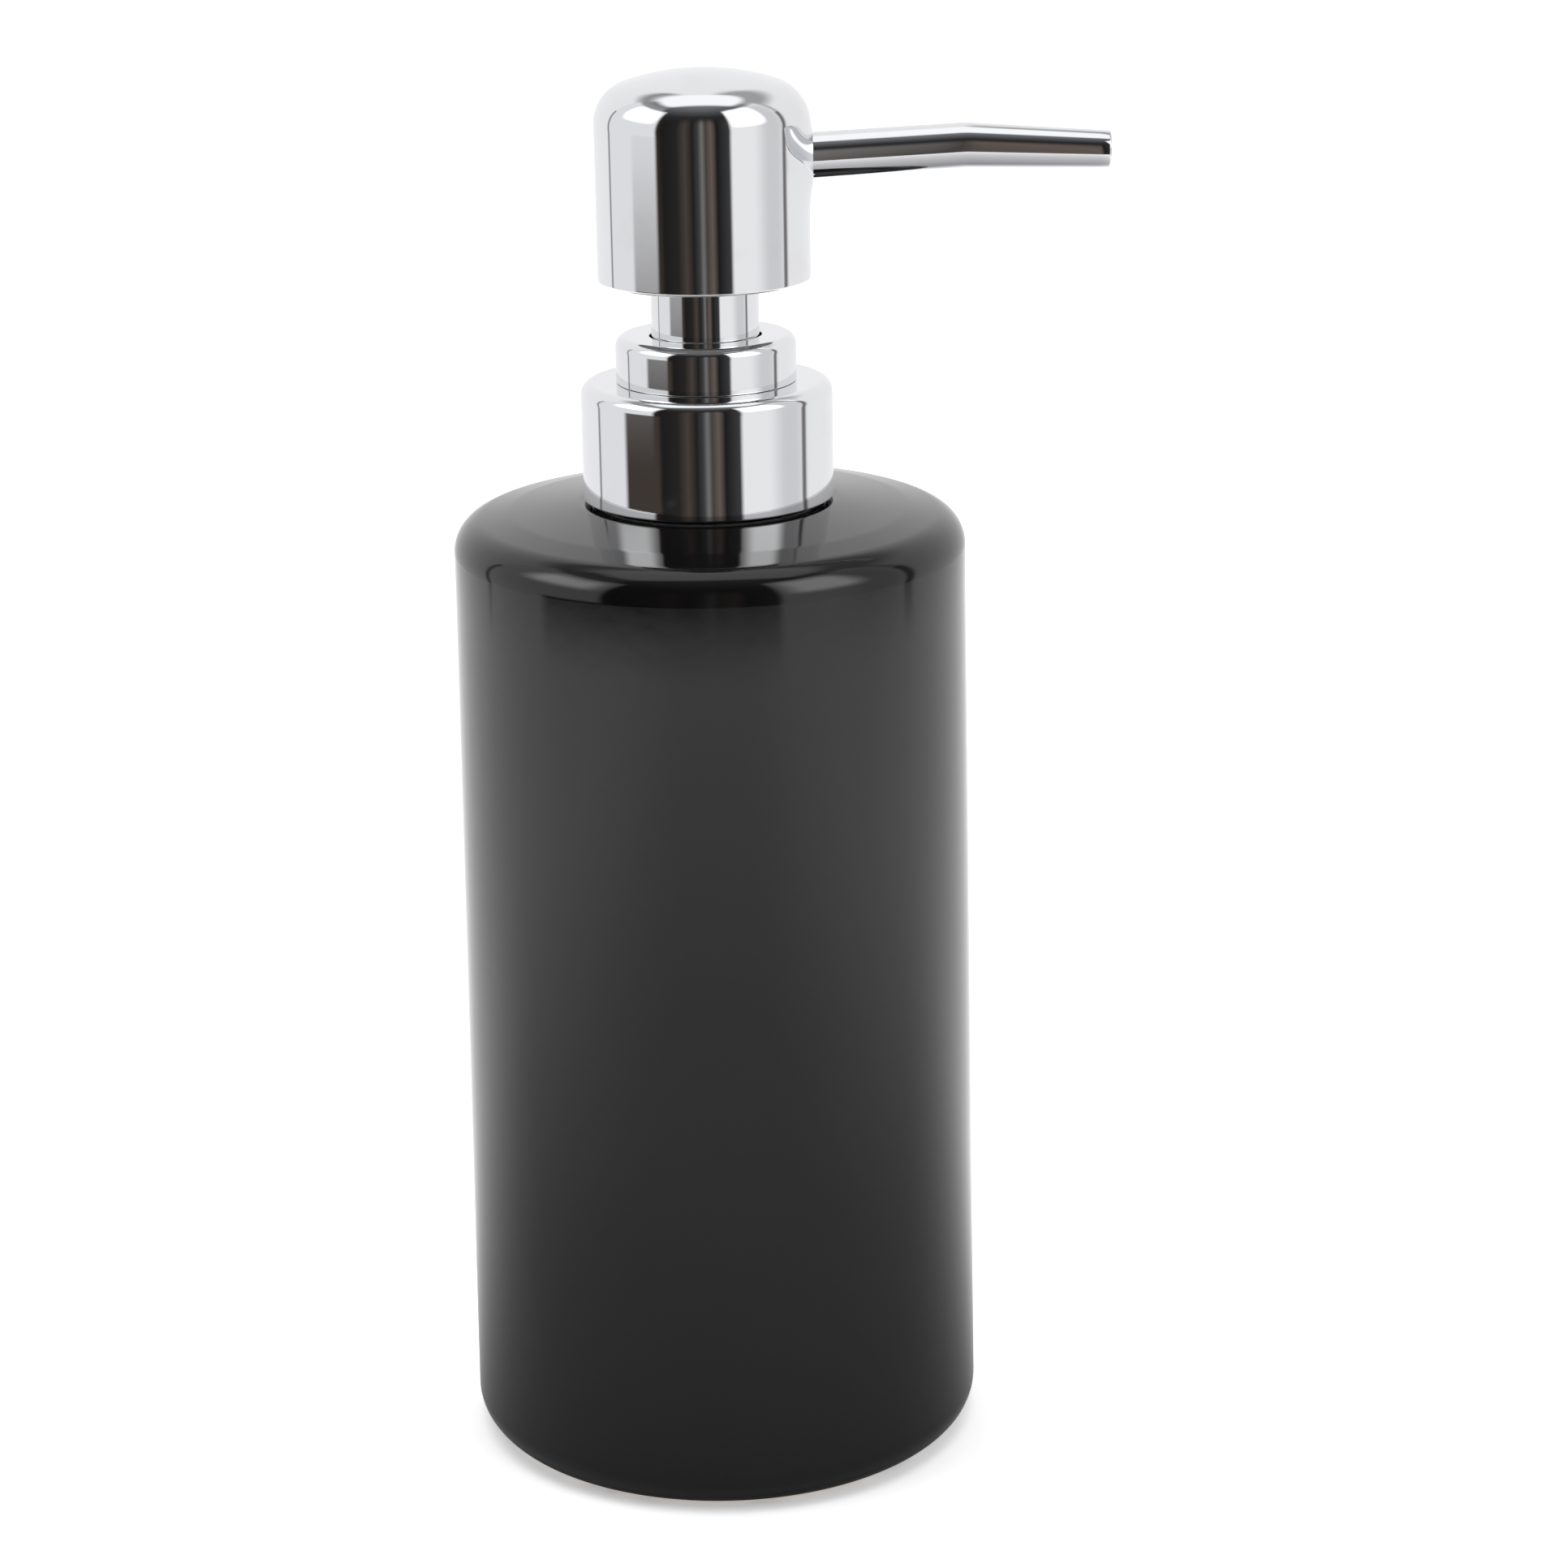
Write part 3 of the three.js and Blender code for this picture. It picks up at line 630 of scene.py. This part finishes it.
def collar_shell():
    """Drawn cover over the closure: rounded top edge and a turned-in bottom rim."""
    out_r, low, top = reach("collar_shell")
    hole_r, edge_round = 9.95, 1.6
    inner_r = out_r - CHROME_WALL
    outline = rounded([
        (inner_r, low, 0.35),
        (out_r, low, 0.25),
        (out_r, top, edge_round),
        (hole_r, top, 0.25),
        (hole_r, top - CHROME_WALL, SOFT_EDGE),
        (inner_r, top - CHROME_WALL, 0.5),
    ])
    made = turned("collar_shell_finished", refined(outline), 256)
    return put(made, "collar_shell", "closure", "chrome")


def guide_ring():
    """The upper tier: a cover on the pump's neck with a lip close round the stem. It comes
    down closer to the collar than its CAD node, since no gap shows there."""
    out_r, low, top = reach("guide_ring")
    low -= FIT - RESTING_GAP
    sleeve_r = reach("stem_sleeve")[0]
    lip_r, lip, counterbore_r, edge_round = sleeve_r + 0.25, 1.2, 9.85, 1.4
    outline = rounded([
        (counterbore_r, low, SOFT_EDGE),
        (out_r, low, SOFT_EDGE),
        (out_r, top, edge_round),
        (lip_r, top, 0.3),
        (lip_r, top - lip, SOFT_EDGE),
        (counterbore_r, top - lip, SOFT_EDGE),
    ])
    made = turned("guide_ring_finished", refined(outline), 224)
    return put(made, "guide_ring", "pump_unit", "chrome")


def stem_sleeve():
    """Thin drawn tube that slides through the guide ring."""
    out_r, low, top = reach("stem_sleeve")
    inner_r = out_r - 0.6
    outline = rounded([(inner_r, low, 0.15), (out_r, low, 0.25), (out_r, top, 0.15),
                       (inner_r, top, 0.15)])
    made = turned("stem_sleeve_finished", refined(outline), 192)
    return put(made, "stem_sleeve", "head", "chrome")


SPOUT_ROOT = Vector((3.9, 0, 175.99))
SPOUT_BEND = Vector((34.2, 0, 177.35))
SPOUT_WALL = 0.6
SPOUT_TAPER = 0.54
SPOUT_RISE = (SPOUT_BEND.z - SPOUT_ROOT.z) / (SPOUT_BEND.x - SPOUT_ROOT.x)


def spout_height(x):
    """Height of the spout's centre line between its root and its bend."""
    return SPOUT_ROOT.z + SPOUT_RISE * (x - SPOUT_ROOT.x)


def spout_sizes():
    """Radius of the spout's tube at its root and at its tip."""
    root_r = reach("spout_tube")[0]
    return root_r, root_r - SPOUT_TAPER


def boss_angles(dense_half, dense_step, coarse_step):
    """Angles round the head, in radians, close together on the spout's side."""
    angles = []
    a = -180.0
    while a < 180 - 1e-6:
        angles.append(math.radians(a))
        a += dense_step if abs(a + dense_step / 2) < dense_half else coarse_step
    return angles


def head_cap():
    """Hollow domed head, with a boss that flares out of its wall round the spout."""
    out_r, rim, top = reach("head_cap")
    edge_round, crown = 5.5, 1.35
    end_x, end_r, flare_r, flare_power = 14.35, 3.72, 9.0, 2.6
    row_step, hole_play, rim_round = 0.3, 0.12, 0.35
    spout_r = spout_sizes()[0]
    axis_z = spout_height(end_x)
    flat_r = out_r - edge_round
    corner_z = top - crown - edge_round
    inner_r = out_r - CHROME_WALL

    lean = 2 * math.atan(crown / flat_r)
    round_end = 90 - math.degrees(lean)
    dome_r = edge_round + flat_r / math.sin(lean)
    dome_z = top - dome_r

    def roof(depth, step):
        """The rounded edge and the dome, that far inside the outer surface."""
        edge = arc(flat_r, corner_z, edge_round - depth, 0, round_end, step)
        crest = arc(0, dome_z, dome_r - depth, round_end, 90, step / 3)
        crest[-1].x = 0
        return edge + crest[1:]

    rim_edge = rounded([(inner_r, corner_z, 0), (inner_r, rim, rim_round), (out_r, rim, rim_round),
                        (out_r, corner_z, 0)], closed=False)
    outer = refined(rim_edge, closed=False, longest=1.2)
    flare_low = axis_z - flare_r
    fine_rows = [Vector((out_r, flare_low + row_step * k)) for k in range(200)]
    outer = [p for p in outer if p.x < out_r - 0.001 or p.y < flare_low]
    outer += [p for p in fine_rows if p.y < corner_z - 0.05]
    outer += roof(0, math.radians(3))
    outline = outer + roof(CHROME_WALL, math.radians(6))[:0:-1]

    def flared(p):
        """Pulls the outer wall out along +X round the spout, to a flat end."""
        away = math.hypot(p.y, p.z - axis_z)
        on_outside = math.hypot(p.x, p.y) > inner_r + CHROME_WALL / 2
        on_edge = p.z > corner_z + edge_round * 0.6
        if p.x < 0 or away > flare_r or not (on_outside or on_edge):
            return p
        share = min(1.0, (flare_r - away) / (flare_r - end_r)) ** flare_power
        return Vector((p.x + (end_x - p.x) * share, p.y, p.z))

    split = len(outer)
    angles = boss_angles(dense_half=48, dense_step=0.9, coarse_step=2.25)
    rows = []
    for i, (r, z) in enumerate(outline):
        spots = angles if r > 1e-6 else [0.0]
        row = [Vector((r * math.cos(a), r * math.sin(a), z)) for a in spots]
        rows.append([flared(p) for p in row] if i < split else row)
    made = skin("head_cap_finished", rows, closed=True)
    hole_end = SPOUT_ROOT.lerp(SPOUT_BEND, 0.6)
    hole = bar("spout_hole", SPOUT_ROOT, hole_end, spout_r + hole_play, sides=96)
    combine(made, [hole], "DIFFERENCE")
    return put(made, "head_cap", "head", "chrome")


def spout_tube():
    """Thin tube with a crisp bend, tapering to an open tip with a rolled rim."""
    root_r, tip_r = spout_sizes()
    tip_z, tip_play = 176.5, 0.02
    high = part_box("spout_tube")[1]
    tip = Vector((high.x / MM - tip_play, 0, tip_z))
    bend_half, bend_steps, rim_steps = 0.7, 6, 6
    first = (SPOUT_BEND - SPOUT_ROOT).normalized()
    second = (tip - SPOUT_BEND).normalized()

    def centre_line():
        """Stations as (point, direction, share of the taper)."""
        stations = []
        run = (SPOUT_BEND - SPOUT_ROOT).length - bend_half
        for k in range(13):
            stations.append((SPOUT_ROOT + first * (run * k / 12), first, 0.0))
        a, b = SPOUT_BEND - first * bend_half, SPOUT_BEND + second * bend_half
        taper = bend_half / (tip - SPOUT_BEND).length
        for k in range(1, bend_steps):
            t = k / bend_steps
            point = a.lerp(SPOUT_BEND, t).lerp(SPOUT_BEND.lerp(b, t), t)
            stations.append((point, first.lerp(second, t).normalized(), t * taper))
        for k in range(13):
            stations.append((b.lerp(tip, k / 12), second, taper + (1 - taper) * k / 12))
        return stations

    line = centre_line()
    outside, inside = [], []
    for point, axis, share in line:
        r = root_r + (tip_r - root_r) * share
        outside.append((point, axis, r))
        inside.append((point, axis, r - SPOUT_WALL))
    half = SPOUT_WALL / 2

    def rim(point, axis, r, sign):
        """A half-round rim at an end, from the outside to the bore."""
        made = []
        for k in range(1, rim_steps):
            a = math.pi * k / rim_steps
            along = axis * (sign * half * (math.sin(a) - 1))
            made.append((point + along, axis, r - half + half * math.cos(a)))
        return made

    tip_rim = rim(tip, second, tip_r, 1)
    root_rim = rim(SPOUT_ROOT, first, root_r, -1)
    outside[-1] = (tip - second * half, second, tip_r)
    inside[-1] = (tip - second * half, second, tip_r - SPOUT_WALL)
    outside[0] = (SPOUT_ROOT + first * half, first, root_r)
    inside[0] = (SPOUT_ROOT + first * half, first, root_r - SPOUT_WALL)
    stations = outside + tip_rim + inside[::-1] + root_rim[::-1]
    made = tube_along("spout_tube_finished", stations, 112)
    return put(made, "spout_tube", "head", "chrome")


# ---- Inside the head ---------------------------------------------------------------------

SEAL_X = 7.9


def actuator_core():
    """Moulded core: socket for the stem, a ribbed flange and the channel to the spout."""
    flange_r, low, top = reach("actuator_core")
    neck_r, body_r = 6.25, 6.8
    flange_z, flange_t = 170.5, 1.8
    socket_r, socket_top = 3.7, 174.2
    arm_r, arm_end, channel_r = 5.0, 11.6, 1.6
    seal_x, groove_half, groove_r = SEAL_X, 0.7, 4.4
    tube_bore_r = 3.27
    ribs, rib_t, rib_h = 6, 0.8, 3.0
    outline = rounded([
        (0, socket_top, 0),
        (socket_r, socket_top, 0.15),
        (socket_r, low, 0.5),
        (neck_r, low, 0.3),
        (neck_r, flange_z, 0.4),
        (flange_r, flange_z, 0.25),
        (flange_r, flange_z + flange_t, 0.25),
        (body_r, flange_z + flange_t, 0.4),
        (body_r, top, 0.6),
        (0, top, 0),
    ], closed=False)
    made = turned("actuator_core_finished", refined(outline, closed=False), 120, closed=False)
    arm_z = spout_height(arm_end / 2)
    added = [bar("arm", (0, 0, arm_z), (arm_end, 0, arm_z), arm_r)]
    for k in range(ribs):
        middle = (body_r + flange_r - 1) / 2
        size = (flange_r - body_r, rib_t, rib_h)
        centre = (middle, 0, flange_z + flange_t + rib_h / 2 - 0.3)
        added.append(block(f"rib_{k}", size, centre, math.radians(30 + 60 * k)))
    combine(made, added, "UNION")
    root_z = spout_height(seal_x)
    tube_end = (arm_end + 1, 0, spout_height(arm_end))
    cuts = [
        bar("riser", (0, 0, socket_top - 1), (0, 0, arm_z), channel_r),
        bar("channel", (-channel_r, 0, arm_z), (arm_end + 1, 0, arm_z), channel_r),
        bar("tube_bore", SPOUT_ROOT - Vector((0.3, 0, 0)), tube_end, tube_bore_r),
        bar("groove", (seal_x - groove_half, 0, root_z), (seal_x + groove_half, 0, root_z),
            groove_r),
    ]
    combine(made, cuts, "DIFFERENCE")
    return put(made, "actuator_core", "head", "white_plastic")


def spout_seal():
    """O-ring round the root of the spout."""
    ring_r, section_r, seal_x = 3.8, 0.5, SEAL_X
    outline = arc(ring_r, 0, section_r, 0, 360, math.radians(18))[:-1]
    made = turned("spout_seal_finished", outline, 96)
    turn = Matrix.Rotation(math.pi / 2, 4, "Y")
    made.data.transform(Matrix.Translation(Vector((seal_x, 0, spout_height(seal_x))) * MM) @ turn)
    return put(made, "spout_seal", "head", "black_rubber")


# ---- Pump ------------------------------------------------------------------------------------

CHAMBER_R = 6.3
WELL_FLOOR_Z = 134.5
WELL_R = 8.1
STEM_R = 3.5
SLIDE = 0.25


def pump_housing():
    """Clear moulded body: clamping flange, chamber, ball cage and dip tube socket."""
    flange_r, low, top = reach("pump_housing")
    flange_top, flange_t, neck_r, body_r = 144.6, 1.2, 9.6, 9.7
    chamber_out_r, chamber_floor, cage_r = 7.6, 103.2, 2.6
    tail_r, socket_r, socket_top, suction_r = 4.4, 3.2, 95.5, 1.2
    seat_low, seat_high = 98.37, 98.95 + 0.82
    nub_low, nub_reach = 102.4, 1.0
    vent_z, vent_r = 131.0, 0.5
    outline = rounded([
        (socket_r, low, 0.3),
        (tail_r, low, 0.3),
        (tail_r, socket_top, 0.6),
        (chamber_out_r, chamber_floor - 3, 0.8),
        (chamber_out_r, WELL_FLOOR_Z - 4, 0.6),
        (body_r, WELL_FLOOR_Z - 1.5, 0.5),
        (body_r, flange_top - flange_t, 0.2),
        (flange_r, flange_top - flange_t, 0.2),
        (flange_r, flange_top, 0.3),
        (neck_r, flange_top, 0.3),
        (neck_r, top, 0.3),
        (WELL_R, top, 0.3),
        (WELL_R, WELL_FLOOR_Z, 0.2),
        (CHAMBER_R, WELL_FLOOR_Z, 0.25),
        (CHAMBER_R, chamber_floor, 0.4),
        (cage_r, chamber_floor, 0.15),
        (cage_r, seat_high, 0.1),
        (suction_r, seat_low, 0.1),
        (suction_r, socket_top, 0.1),
        (socket_r, socket_top, 0.2),
    ])
    made = turned("pump_housing_finished", refined(outline), 128)
    height = chamber_floor - nub_low
    length = nub_reach + 0.5
    middle = (cage_r - nub_reach + length / 2, 0, nub_low + height / 2 - 0.02)
    nubs = [block(f"nub_{k}", (length, 1, height), middle, TURN * k / 3) for k in range(3)]
    combine(made, nubs, "UNION")
    combine(made, [bar("vent", (0, CHAMBER_R - 1, vent_z), (0, body_r, vent_z), vent_r, sides=24)],
            "DIFFERENCE")
    return put(made, "pump_housing", "pump_unit", "natural_plastic")


def housing_plug():
    """Ring pressed into the housing's well, with a pocket for the stem's wiper."""
    out_r, low, top = reach("housing_plug")
    seat = WELL_FLOOR_Z + FIT
    bore, pocket_r, pocket = STEM_R + SLIDE, STEM_R + SLIDE + 1.9, top - 1.6
    outline = rounded([
        (bore, low, 0.2),
        (CHAMBER_R - FIT, low, 0.4),
        (CHAMBER_R - FIT, seat, SOFT_EDGE),
        (out_r, seat, 0.2),
        (out_r, top, 0.3),
        (pocket_r, top, 0.2),
        (pocket_r, pocket, SOFT_EDGE),
        (bore, pocket, 0.2),
    ])
    made = turned("housing_plug_finished", refined(outline), 112)
    return put(made, "housing_plug", "pump_unit", "white_plastic")


def stem_seal():
    """Wiper ring whose lip runs on the stem."""
    out_r, low, top = reach("stem_seal")
    inner = STEM_R + FIT / 2
    outline = rounded([
        (inner + 0.5, low, 0.1),
        (out_r, low, 0.15),
        (out_r, top, 0.15),
        (inner, top, 0.12),
        (inner, top - 0.4, 0.12),
    ])
    made = turned("stem_seal_finished", refined(outline), 96)
    return put(made, "stem_seal", "pump_unit", "black_rubber")


def stem():
    """Hollow stem with the shoulder that stops it under the plug."""
    shoulder_r, low, top = reach("stem")
    bore, shoulder_z, shoulder_t = 2.0, 131.1, 1.2
    outline = rounded([
        (bore, low, 0.2),
        (STEM_R, low, 0.3),
        (STEM_R, shoulder_z, 0.15),
        (shoulder_r, shoulder_z, 0.2),
        (shoulder_r, shoulder_z + shoulder_t, 0.2),
        (STEM_R, shoulder_z + shoulder_t, 0.2),
        (STEM_R, top, 0.4),
        (bore, top, 0.2),
    ])
    made = turned("stem_finished", refined(outline), 96)
    return put(made, "stem", "plunger", "white_plastic")


def piston():
    """Soft piston with a wiping lip at each end."""
    lip_r, low, top = reach("piston")
    bore, waist_r, waist_h, lip_t, lip_set = STEM_R + SLIDE, 5.15, 2.8, 0.6, 0.4
    outline = rounded([
        (bore, low, 0.15),
        (bore + 1.2, low, 0.15),
        (bore + 1.2, low + 1.6, 0.25),
        (lip_r - lip_t, low + lip_set, 0.12),
        (lip_r, low + lip_set, 0.15),
        (waist_r, low + waist_h, 0.6),
        (waist_r, top - waist_h, 0.6),
        (lip_r, top - lip_set, 0.15),
        (lip_r - lip_t, top - lip_set, 0.12),
        (bore + 0.9, top - 2, 0.25),
        (bore + 0.9, top, 0.15),
        (bore, top, 0.15),
    ])
    made = turned("piston_finished", refined(outline), 112)
    return put(made, "piston", "piston", "soft_seal")


def piston_seat():
    """Closing disc under the piston, on a cross-shaped shank in the stem's bore."""
    disc_r, low, top = reach("piston_seat")
    disc_top = low + 1.4
    reach_r, shank_t = 1.8, 1.2
    outline = rounded([(0, low, 0), (disc_r, low, 0.2), (disc_r, disc_top, 0.3),
                       (0, disc_top, 0)], closed=False)
    made = turned("piston_seat_finished", refined(outline, closed=False), 96, closed=False)
    height = top - low - 0.7
    size = (2 * reach_r, shank_t, height)
    centre = (0, 0, top - height / 2)
    arms = [block(f"shank_{k}", size, centre, math.pi / 2 * k) for k in range(2)]
    combine(made, arms, "UNION")
    return put(made, "piston_seat", "plunger", "white_plastic")


def inlet_ball():
    """Ball of the suction valve."""
    radius, low, top = reach("inlet_ball")
    centre = (low + top) / 2
    outline = arc(0, centre, radius, -90, 90, math.radians(6))
    outline[0].x = outline[-1].x = 0
    made = turned("inlet_ball_finished", outline, 64, closed=False)
    return put(made, "inlet_ball", "inlet_ball", "ball_glass")


def return_spring():
    """Wound wire: a closed coil at each end, even turns between, ends ground square."""
    _, low, top = reach("return_spring")
    wire_r, coil_r, turns, closed_pitch = 0.35, 4.4, 6, 0.77
    steps_per_turn, sides = 72, 16
    low, top = low + wire_r, top - wire_r
    open_pitch = (top - low - 2 * closed_pitch) / (turns - 2)
    rows = []
    steps = turns * steps_per_turn
    for k in range(steps + 1):
        turn = k / steps_per_turn
        ends = min(turn, 1) + max(turn - turns + 1, 0)
        between = min(max(turn - 1, 0), turns - 2)
        z = low + closed_pitch * ends + open_pitch * between
        a = TURN * turn
        out = Vector((math.cos(a), math.sin(a), 0))
        tip = min(k, steps - k, 3) / 3
        r = wire_r * (0.75 + 0.25 * math.sqrt(tip))
        ring = [(math.cos(b) * r, math.sin(b) * r) for b in even_angles(sides)]
        rows.append([out * (coil_r + c) + Vector((0, 0, z + s)) for c, s in ring])
    first = sum(rows[0], Vector()) / sides
    last = sum(rows[-1], Vector()) / sides
    made = skin("return_spring_finished", [[first], *rows, [last]], closed=False)
    put(made, "return_spring", "pump_unit", "spring_steel")
    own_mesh(made)
    return made


def dip_tube():
    """Clear tube down to the bottle's floor, cut slanting so that it can't seal there."""
    out_r, low, top = reach("dip_tube")
    inner_r = 2.2
    outline = refined(rounded([(inner_r, low, 0.1), (out_r, low, 0.12), (out_r, top, 0.2),
                               (inner_r, top, 0.15)]), longest=2.0)

    def slanted(p):
        share = (top - p.z) / (top - low)
        return Vector((p.x, p.y, p.z + (p.x + out_r) * share))

    made = turned("dip_tube_finished", outline, 72, shape=slanted)
    return put(made, "dip_tube", "pump_unit", "natural_plastic")


# ---- Studio ---------------------------------------------------------------------------------

def camera():
    """The camera stands a little above the dispenser and close to it."""
    distance, height = 0.5122, 0.24995
    pitch, yaw, roll = 0.3001, 0.0183, -0.0156
    data = bpy.data.cameras.new("camera")
    data.sensor_width = 36
    data.lens = 90.67
    data.clip_start, data.clip_end = 0.01, 50
    made = bpy.data.objects.new("camera", data)
    scene.collection.objects.link(made)
    level = Vector((math.sin(yaw), math.cos(yaw), 0))
    across = Vector((math.cos(yaw), -math.sin(yaw), 0))
    above = Vector((0, 0, 1))
    ahead = math.cos(pitch) * level - math.sin(pitch) * above
    up = math.sin(pitch) * level + math.cos(pitch) * above
    right = math.cos(roll) * across + math.sin(roll) * up
    up = math.cos(roll) * up - math.sin(roll) * across
    turn = Matrix((right, up, -ahead)).transposed().to_4x4()
    made.matrix_world = Matrix.Translation((0, -distance, height)) @ turn
    scene.camera = made


# What stands round the object, as (name, azimuths, elevations, softness, colour), in degrees.
# Azimuth 0 is towards the camera and 90 is the spout's side. Later panels cover earlier ones.
SURROUNDINGS = [
    ("left rear sweep", (-200, -112), (-60, 92), 6, (0.98, 0.98, 0.99)),
    ("right rear sweep", (100, 200), (-60, 92), 5, (0.98, 0.98, 0.99)),
    ("right ceiling", (85, 168), (44, 70), 8, (0.42, 0.42, 0.43)),
    ("left ceiling", (-165, -60), (49, 61), 6, (0.34, 0.34, 0.35)),
    ("left softbox", (-116, -50), (-60, 51), 2.5, (0.90, 0.905, 0.92)),
    ("left softbox core", (-96, -58), (24, 46), 8, (3.6, 3.6, 3.6)),
    ("left low stand", (-80, -44), (-60, -9.8), 3, (0.060, 0.048, 0.042)),
    ("right softbox", (31, 97), (-60, 55), 2.5, (1.0, 1.0, 1.01)),
    ("right softbox far side", (66, 97), (-60, 55), 11, (0.74, 0.74, 0.755)),
    ("right softbox core", (38, 72), (16, 52), 8, (3.4, 3.4, 3.4)),
    ("left frame", (-118, -115), (-30, 24), 1.5, (0.28, 0.28, 0.29)),
    ("right frame", (96, 101), (-30, 27), 2, (0.20, 0.19, 0.185)),
]


def surroundings():
    """A studio as the world: softboxes left and right, a bright sweep behind and above,
    and the dark room that the camera looks out of."""
    world = bpy.data.worlds.new("studio")
    scene.world = world
    world.use_nodes = True
    graph = Graph(world.node_tree)
    axes = graph.add("SeparateXYZ")
    graph.feed(axes.inputs[0], graph.add("TexCoord").outputs["Generated"])
    x, y, z = axes.outputs
    degree = 180 / math.pi
    towards_camera = graph.math("MULTIPLY", y, -1)
    azimuth = graph.math("MULTIPLY", graph.math("ARCTAN2", x, towards_camera), degree)
    elevation = graph.math("MULTIPLY", graph.math("ARCSINE", z), degree)

    def panel(azimuths, elevations, soft):
        share = 1.0
        for value, (low, high) in ((azimuth, azimuths), (elevation, elevations)):
            begun = graph.span(value, low - soft, low + soft)
            ended = graph.span(value, high - soft, high + soft, 1, 0)
            share = graph.math("MULTIPLY", share, graph.math("MULTIPLY", begun, ended))
        return share

    room = graph.ramp(graph.span(azimuth, -60, 40, smooth=False), [
        (0.00, (0.060, 0.045, 0.036, 1)),
        (0.08, (0.050, 0.033, 0.024, 1)),
        (0.17, (0.016, 0.015, 0.015, 1)),
        (0.33, (0.024, 0.022, 0.021, 1)),
        (0.42, (0.075, 0.060, 0.052, 1)),
        (0.50, (0.018, 0.017, 0.017, 1)),
        (0.56, (0.060, 0.058, 0.058, 1)),
        (0.60, (0.200, 0.195, 0.190, 1)),
        (0.64, (0.070, 0.062, 0.058, 1)),
        (0.70, (0.150, 0.118, 0.104, 1)),
        (0.76, (0.014, 0.014, 0.015, 1)),
        (0.88, (0.050, 0.050, 0.052, 1)),
        (1.00, (0.030, 0.030, 0.032, 1)),
    ])
    above = graph.ramp(graph.span(elevation, 0, 90, smooth=False), [
        (0.30, (0.020, 0.019, 0.019, 1)),
        (0.48, (0.030, 0.030, 0.031, 1)),
        (0.60, (0.085, 0.085, 0.090, 1)),
        (0.74, (0.170, 0.170, 0.180, 1)),
        (0.86, (0.230, 0.230, 0.240, 1)),
    ])
    colour = graph.mix(graph.span(elevation, 22, 42), room, above)
    for _, azimuths, elevations, soft, shade in SURROUNDINGS:
        colour = graph.mix(panel(azimuths, elevations, soft), colour, (*shade, 1))
    overhead = graph.math("DIVIDE", y, graph.math("MAXIMUM", z, 0.02))
    overhead = graph.span(overhead, -0.31, -0.15)
    overhead = graph.math("MULTIPLY", overhead, graph.span(elevation, 60, 68))
    colour = graph.mix(overhead, colour, (1.2, 1.2, 1.22, 1))
    white = (1.0, 1.0, 1.0, 1)
    seen = graph.add("LightPath").outputs["Is Camera Ray"]
    background = world.node_tree.nodes["Background"]
    graph.feed(background.inputs["Color"], graph.mix(seen, colour, white))


def pale_plane(name, width, front, back, height, colour, glow=0.0, fade=None):
    """A flat stage surface with a faint mottle. It can glow a little. With fade, it vanishes
    between those two distances from the object, and its colour holds painted shade, greyer
    close by on the camera's side, and painted light, whiter behind and to the sides."""
    made, graph, shader, place = finish_material(name, Roughness=0.9)
    mottle = graph.noise(place, 6, 4)
    low = (0.985 * colour, 0.985 * colour, 0.985 * colour, 1)
    pale = graph.ramp(mottle, [(0.3, low), (0.7, grey(colour))])
    shader.inputs["Specular IOR Level"].default_value = 0.1
    shader.inputs["Emission Color"].default_value = grey(1.0)
    shader.inputs["Emission Strength"].default_value = glow
    if fade:
        # Painted shade close to the object and painted light behind and aside, in the plane's
        # colour.
        close_by, shade = 0.04, 0.42
        behind_from, behind_to, painted_light_behind = -0.03, 0.10, 1.0
        aside_from, aside_to, painted_light_aside = 0.06, 0.36, 0.95
        length = graph.add("VectorMath", operation="LENGTH")
        graph.feed(length.inputs[0], place)
        away = length.outputs["Value"]
        graph.feed(shader.inputs["Alpha"], graph.span(away, *fade, 1, 0))
        # Painted shade: the plane is greyer close to the object.
        shaded = grey(shade * colour)
        pale = graph.mix(graph.span(away, close_by, fade[0], smooth=False), shaded, pale)
        # Painted light: the plane is whiter behind the object and to its sides.
        axes = graph.add("SeparateXYZ")
        graph.feed(axes.inputs[0], place)
        behind = graph.span(axes.outputs[1], behind_from, behind_to)
        pale = graph.mix(behind, pale, grey(painted_light_behind))
        sideways = graph.math("ABSOLUTE", axes.outputs[0])
        aside = graph.span(sideways, aside_from, aside_to)
        pale = graph.mix(aside, pale, grey(painted_light_aside))
    graph.feed(shader.inputs["Base Color"], pale)
    mesh = bmesh.new()
    corners = [(-width, front), (width, front), (width, back), (-width, back)]
    mesh.faces.new([mesh.verts.new((px, py, height)) for px, py in corners])
    plane = as_object(name, mesh)
    plane.data.materials.append(made)
    return plane


def floor():
    """The pale floor, and the near tabletop that only reflections see."""
    shown = pale_plane("floor", 8, -8, 8, -0.0002, 0.93, glow=0.3)
    shown.visible_glossy = False
    # Tabletop colour: painted shade near the object, painted light behind it and to its sides.
    table = pale_plane("tabletop", 0.6, -0.6, 0.6, -0.0001, 0.78, fade=(0.46, 0.58))
    table.visible_camera = False
    table.visible_diffuse = False
    table.visible_shadow = False


def soft_light():
    """One broad overhead light fills the floor evenly, with a very soft shadow."""
    data = bpy.data.lights.new("soft_light", "AREA")
    data.shape = "DISK"
    data.size = 1.6
    data.energy = 12
    made = bpy.data.objects.new("soft_light", data)
    made.location = (-0.1, 0.1, 1.5)
    made.visible_glossy = False
    scene.collection.objects.link(made)


# ---- Assembly ------------------------------------------------------------------------------

for build in (bottle, neck_insert, neck_gasket, screw_cap, collar_shell, guide_ring, stem_sleeve,
              head_cap, spout_tube, actuator_core, spout_seal, pump_housing, housing_plug,
              stem_seal, stem, piston, piston_seat, inlet_ball, return_spring, dip_tube):
    build()

camera()
surroundings()
floor()
soft_light()
scene.view_settings.view_transform = "Standard"
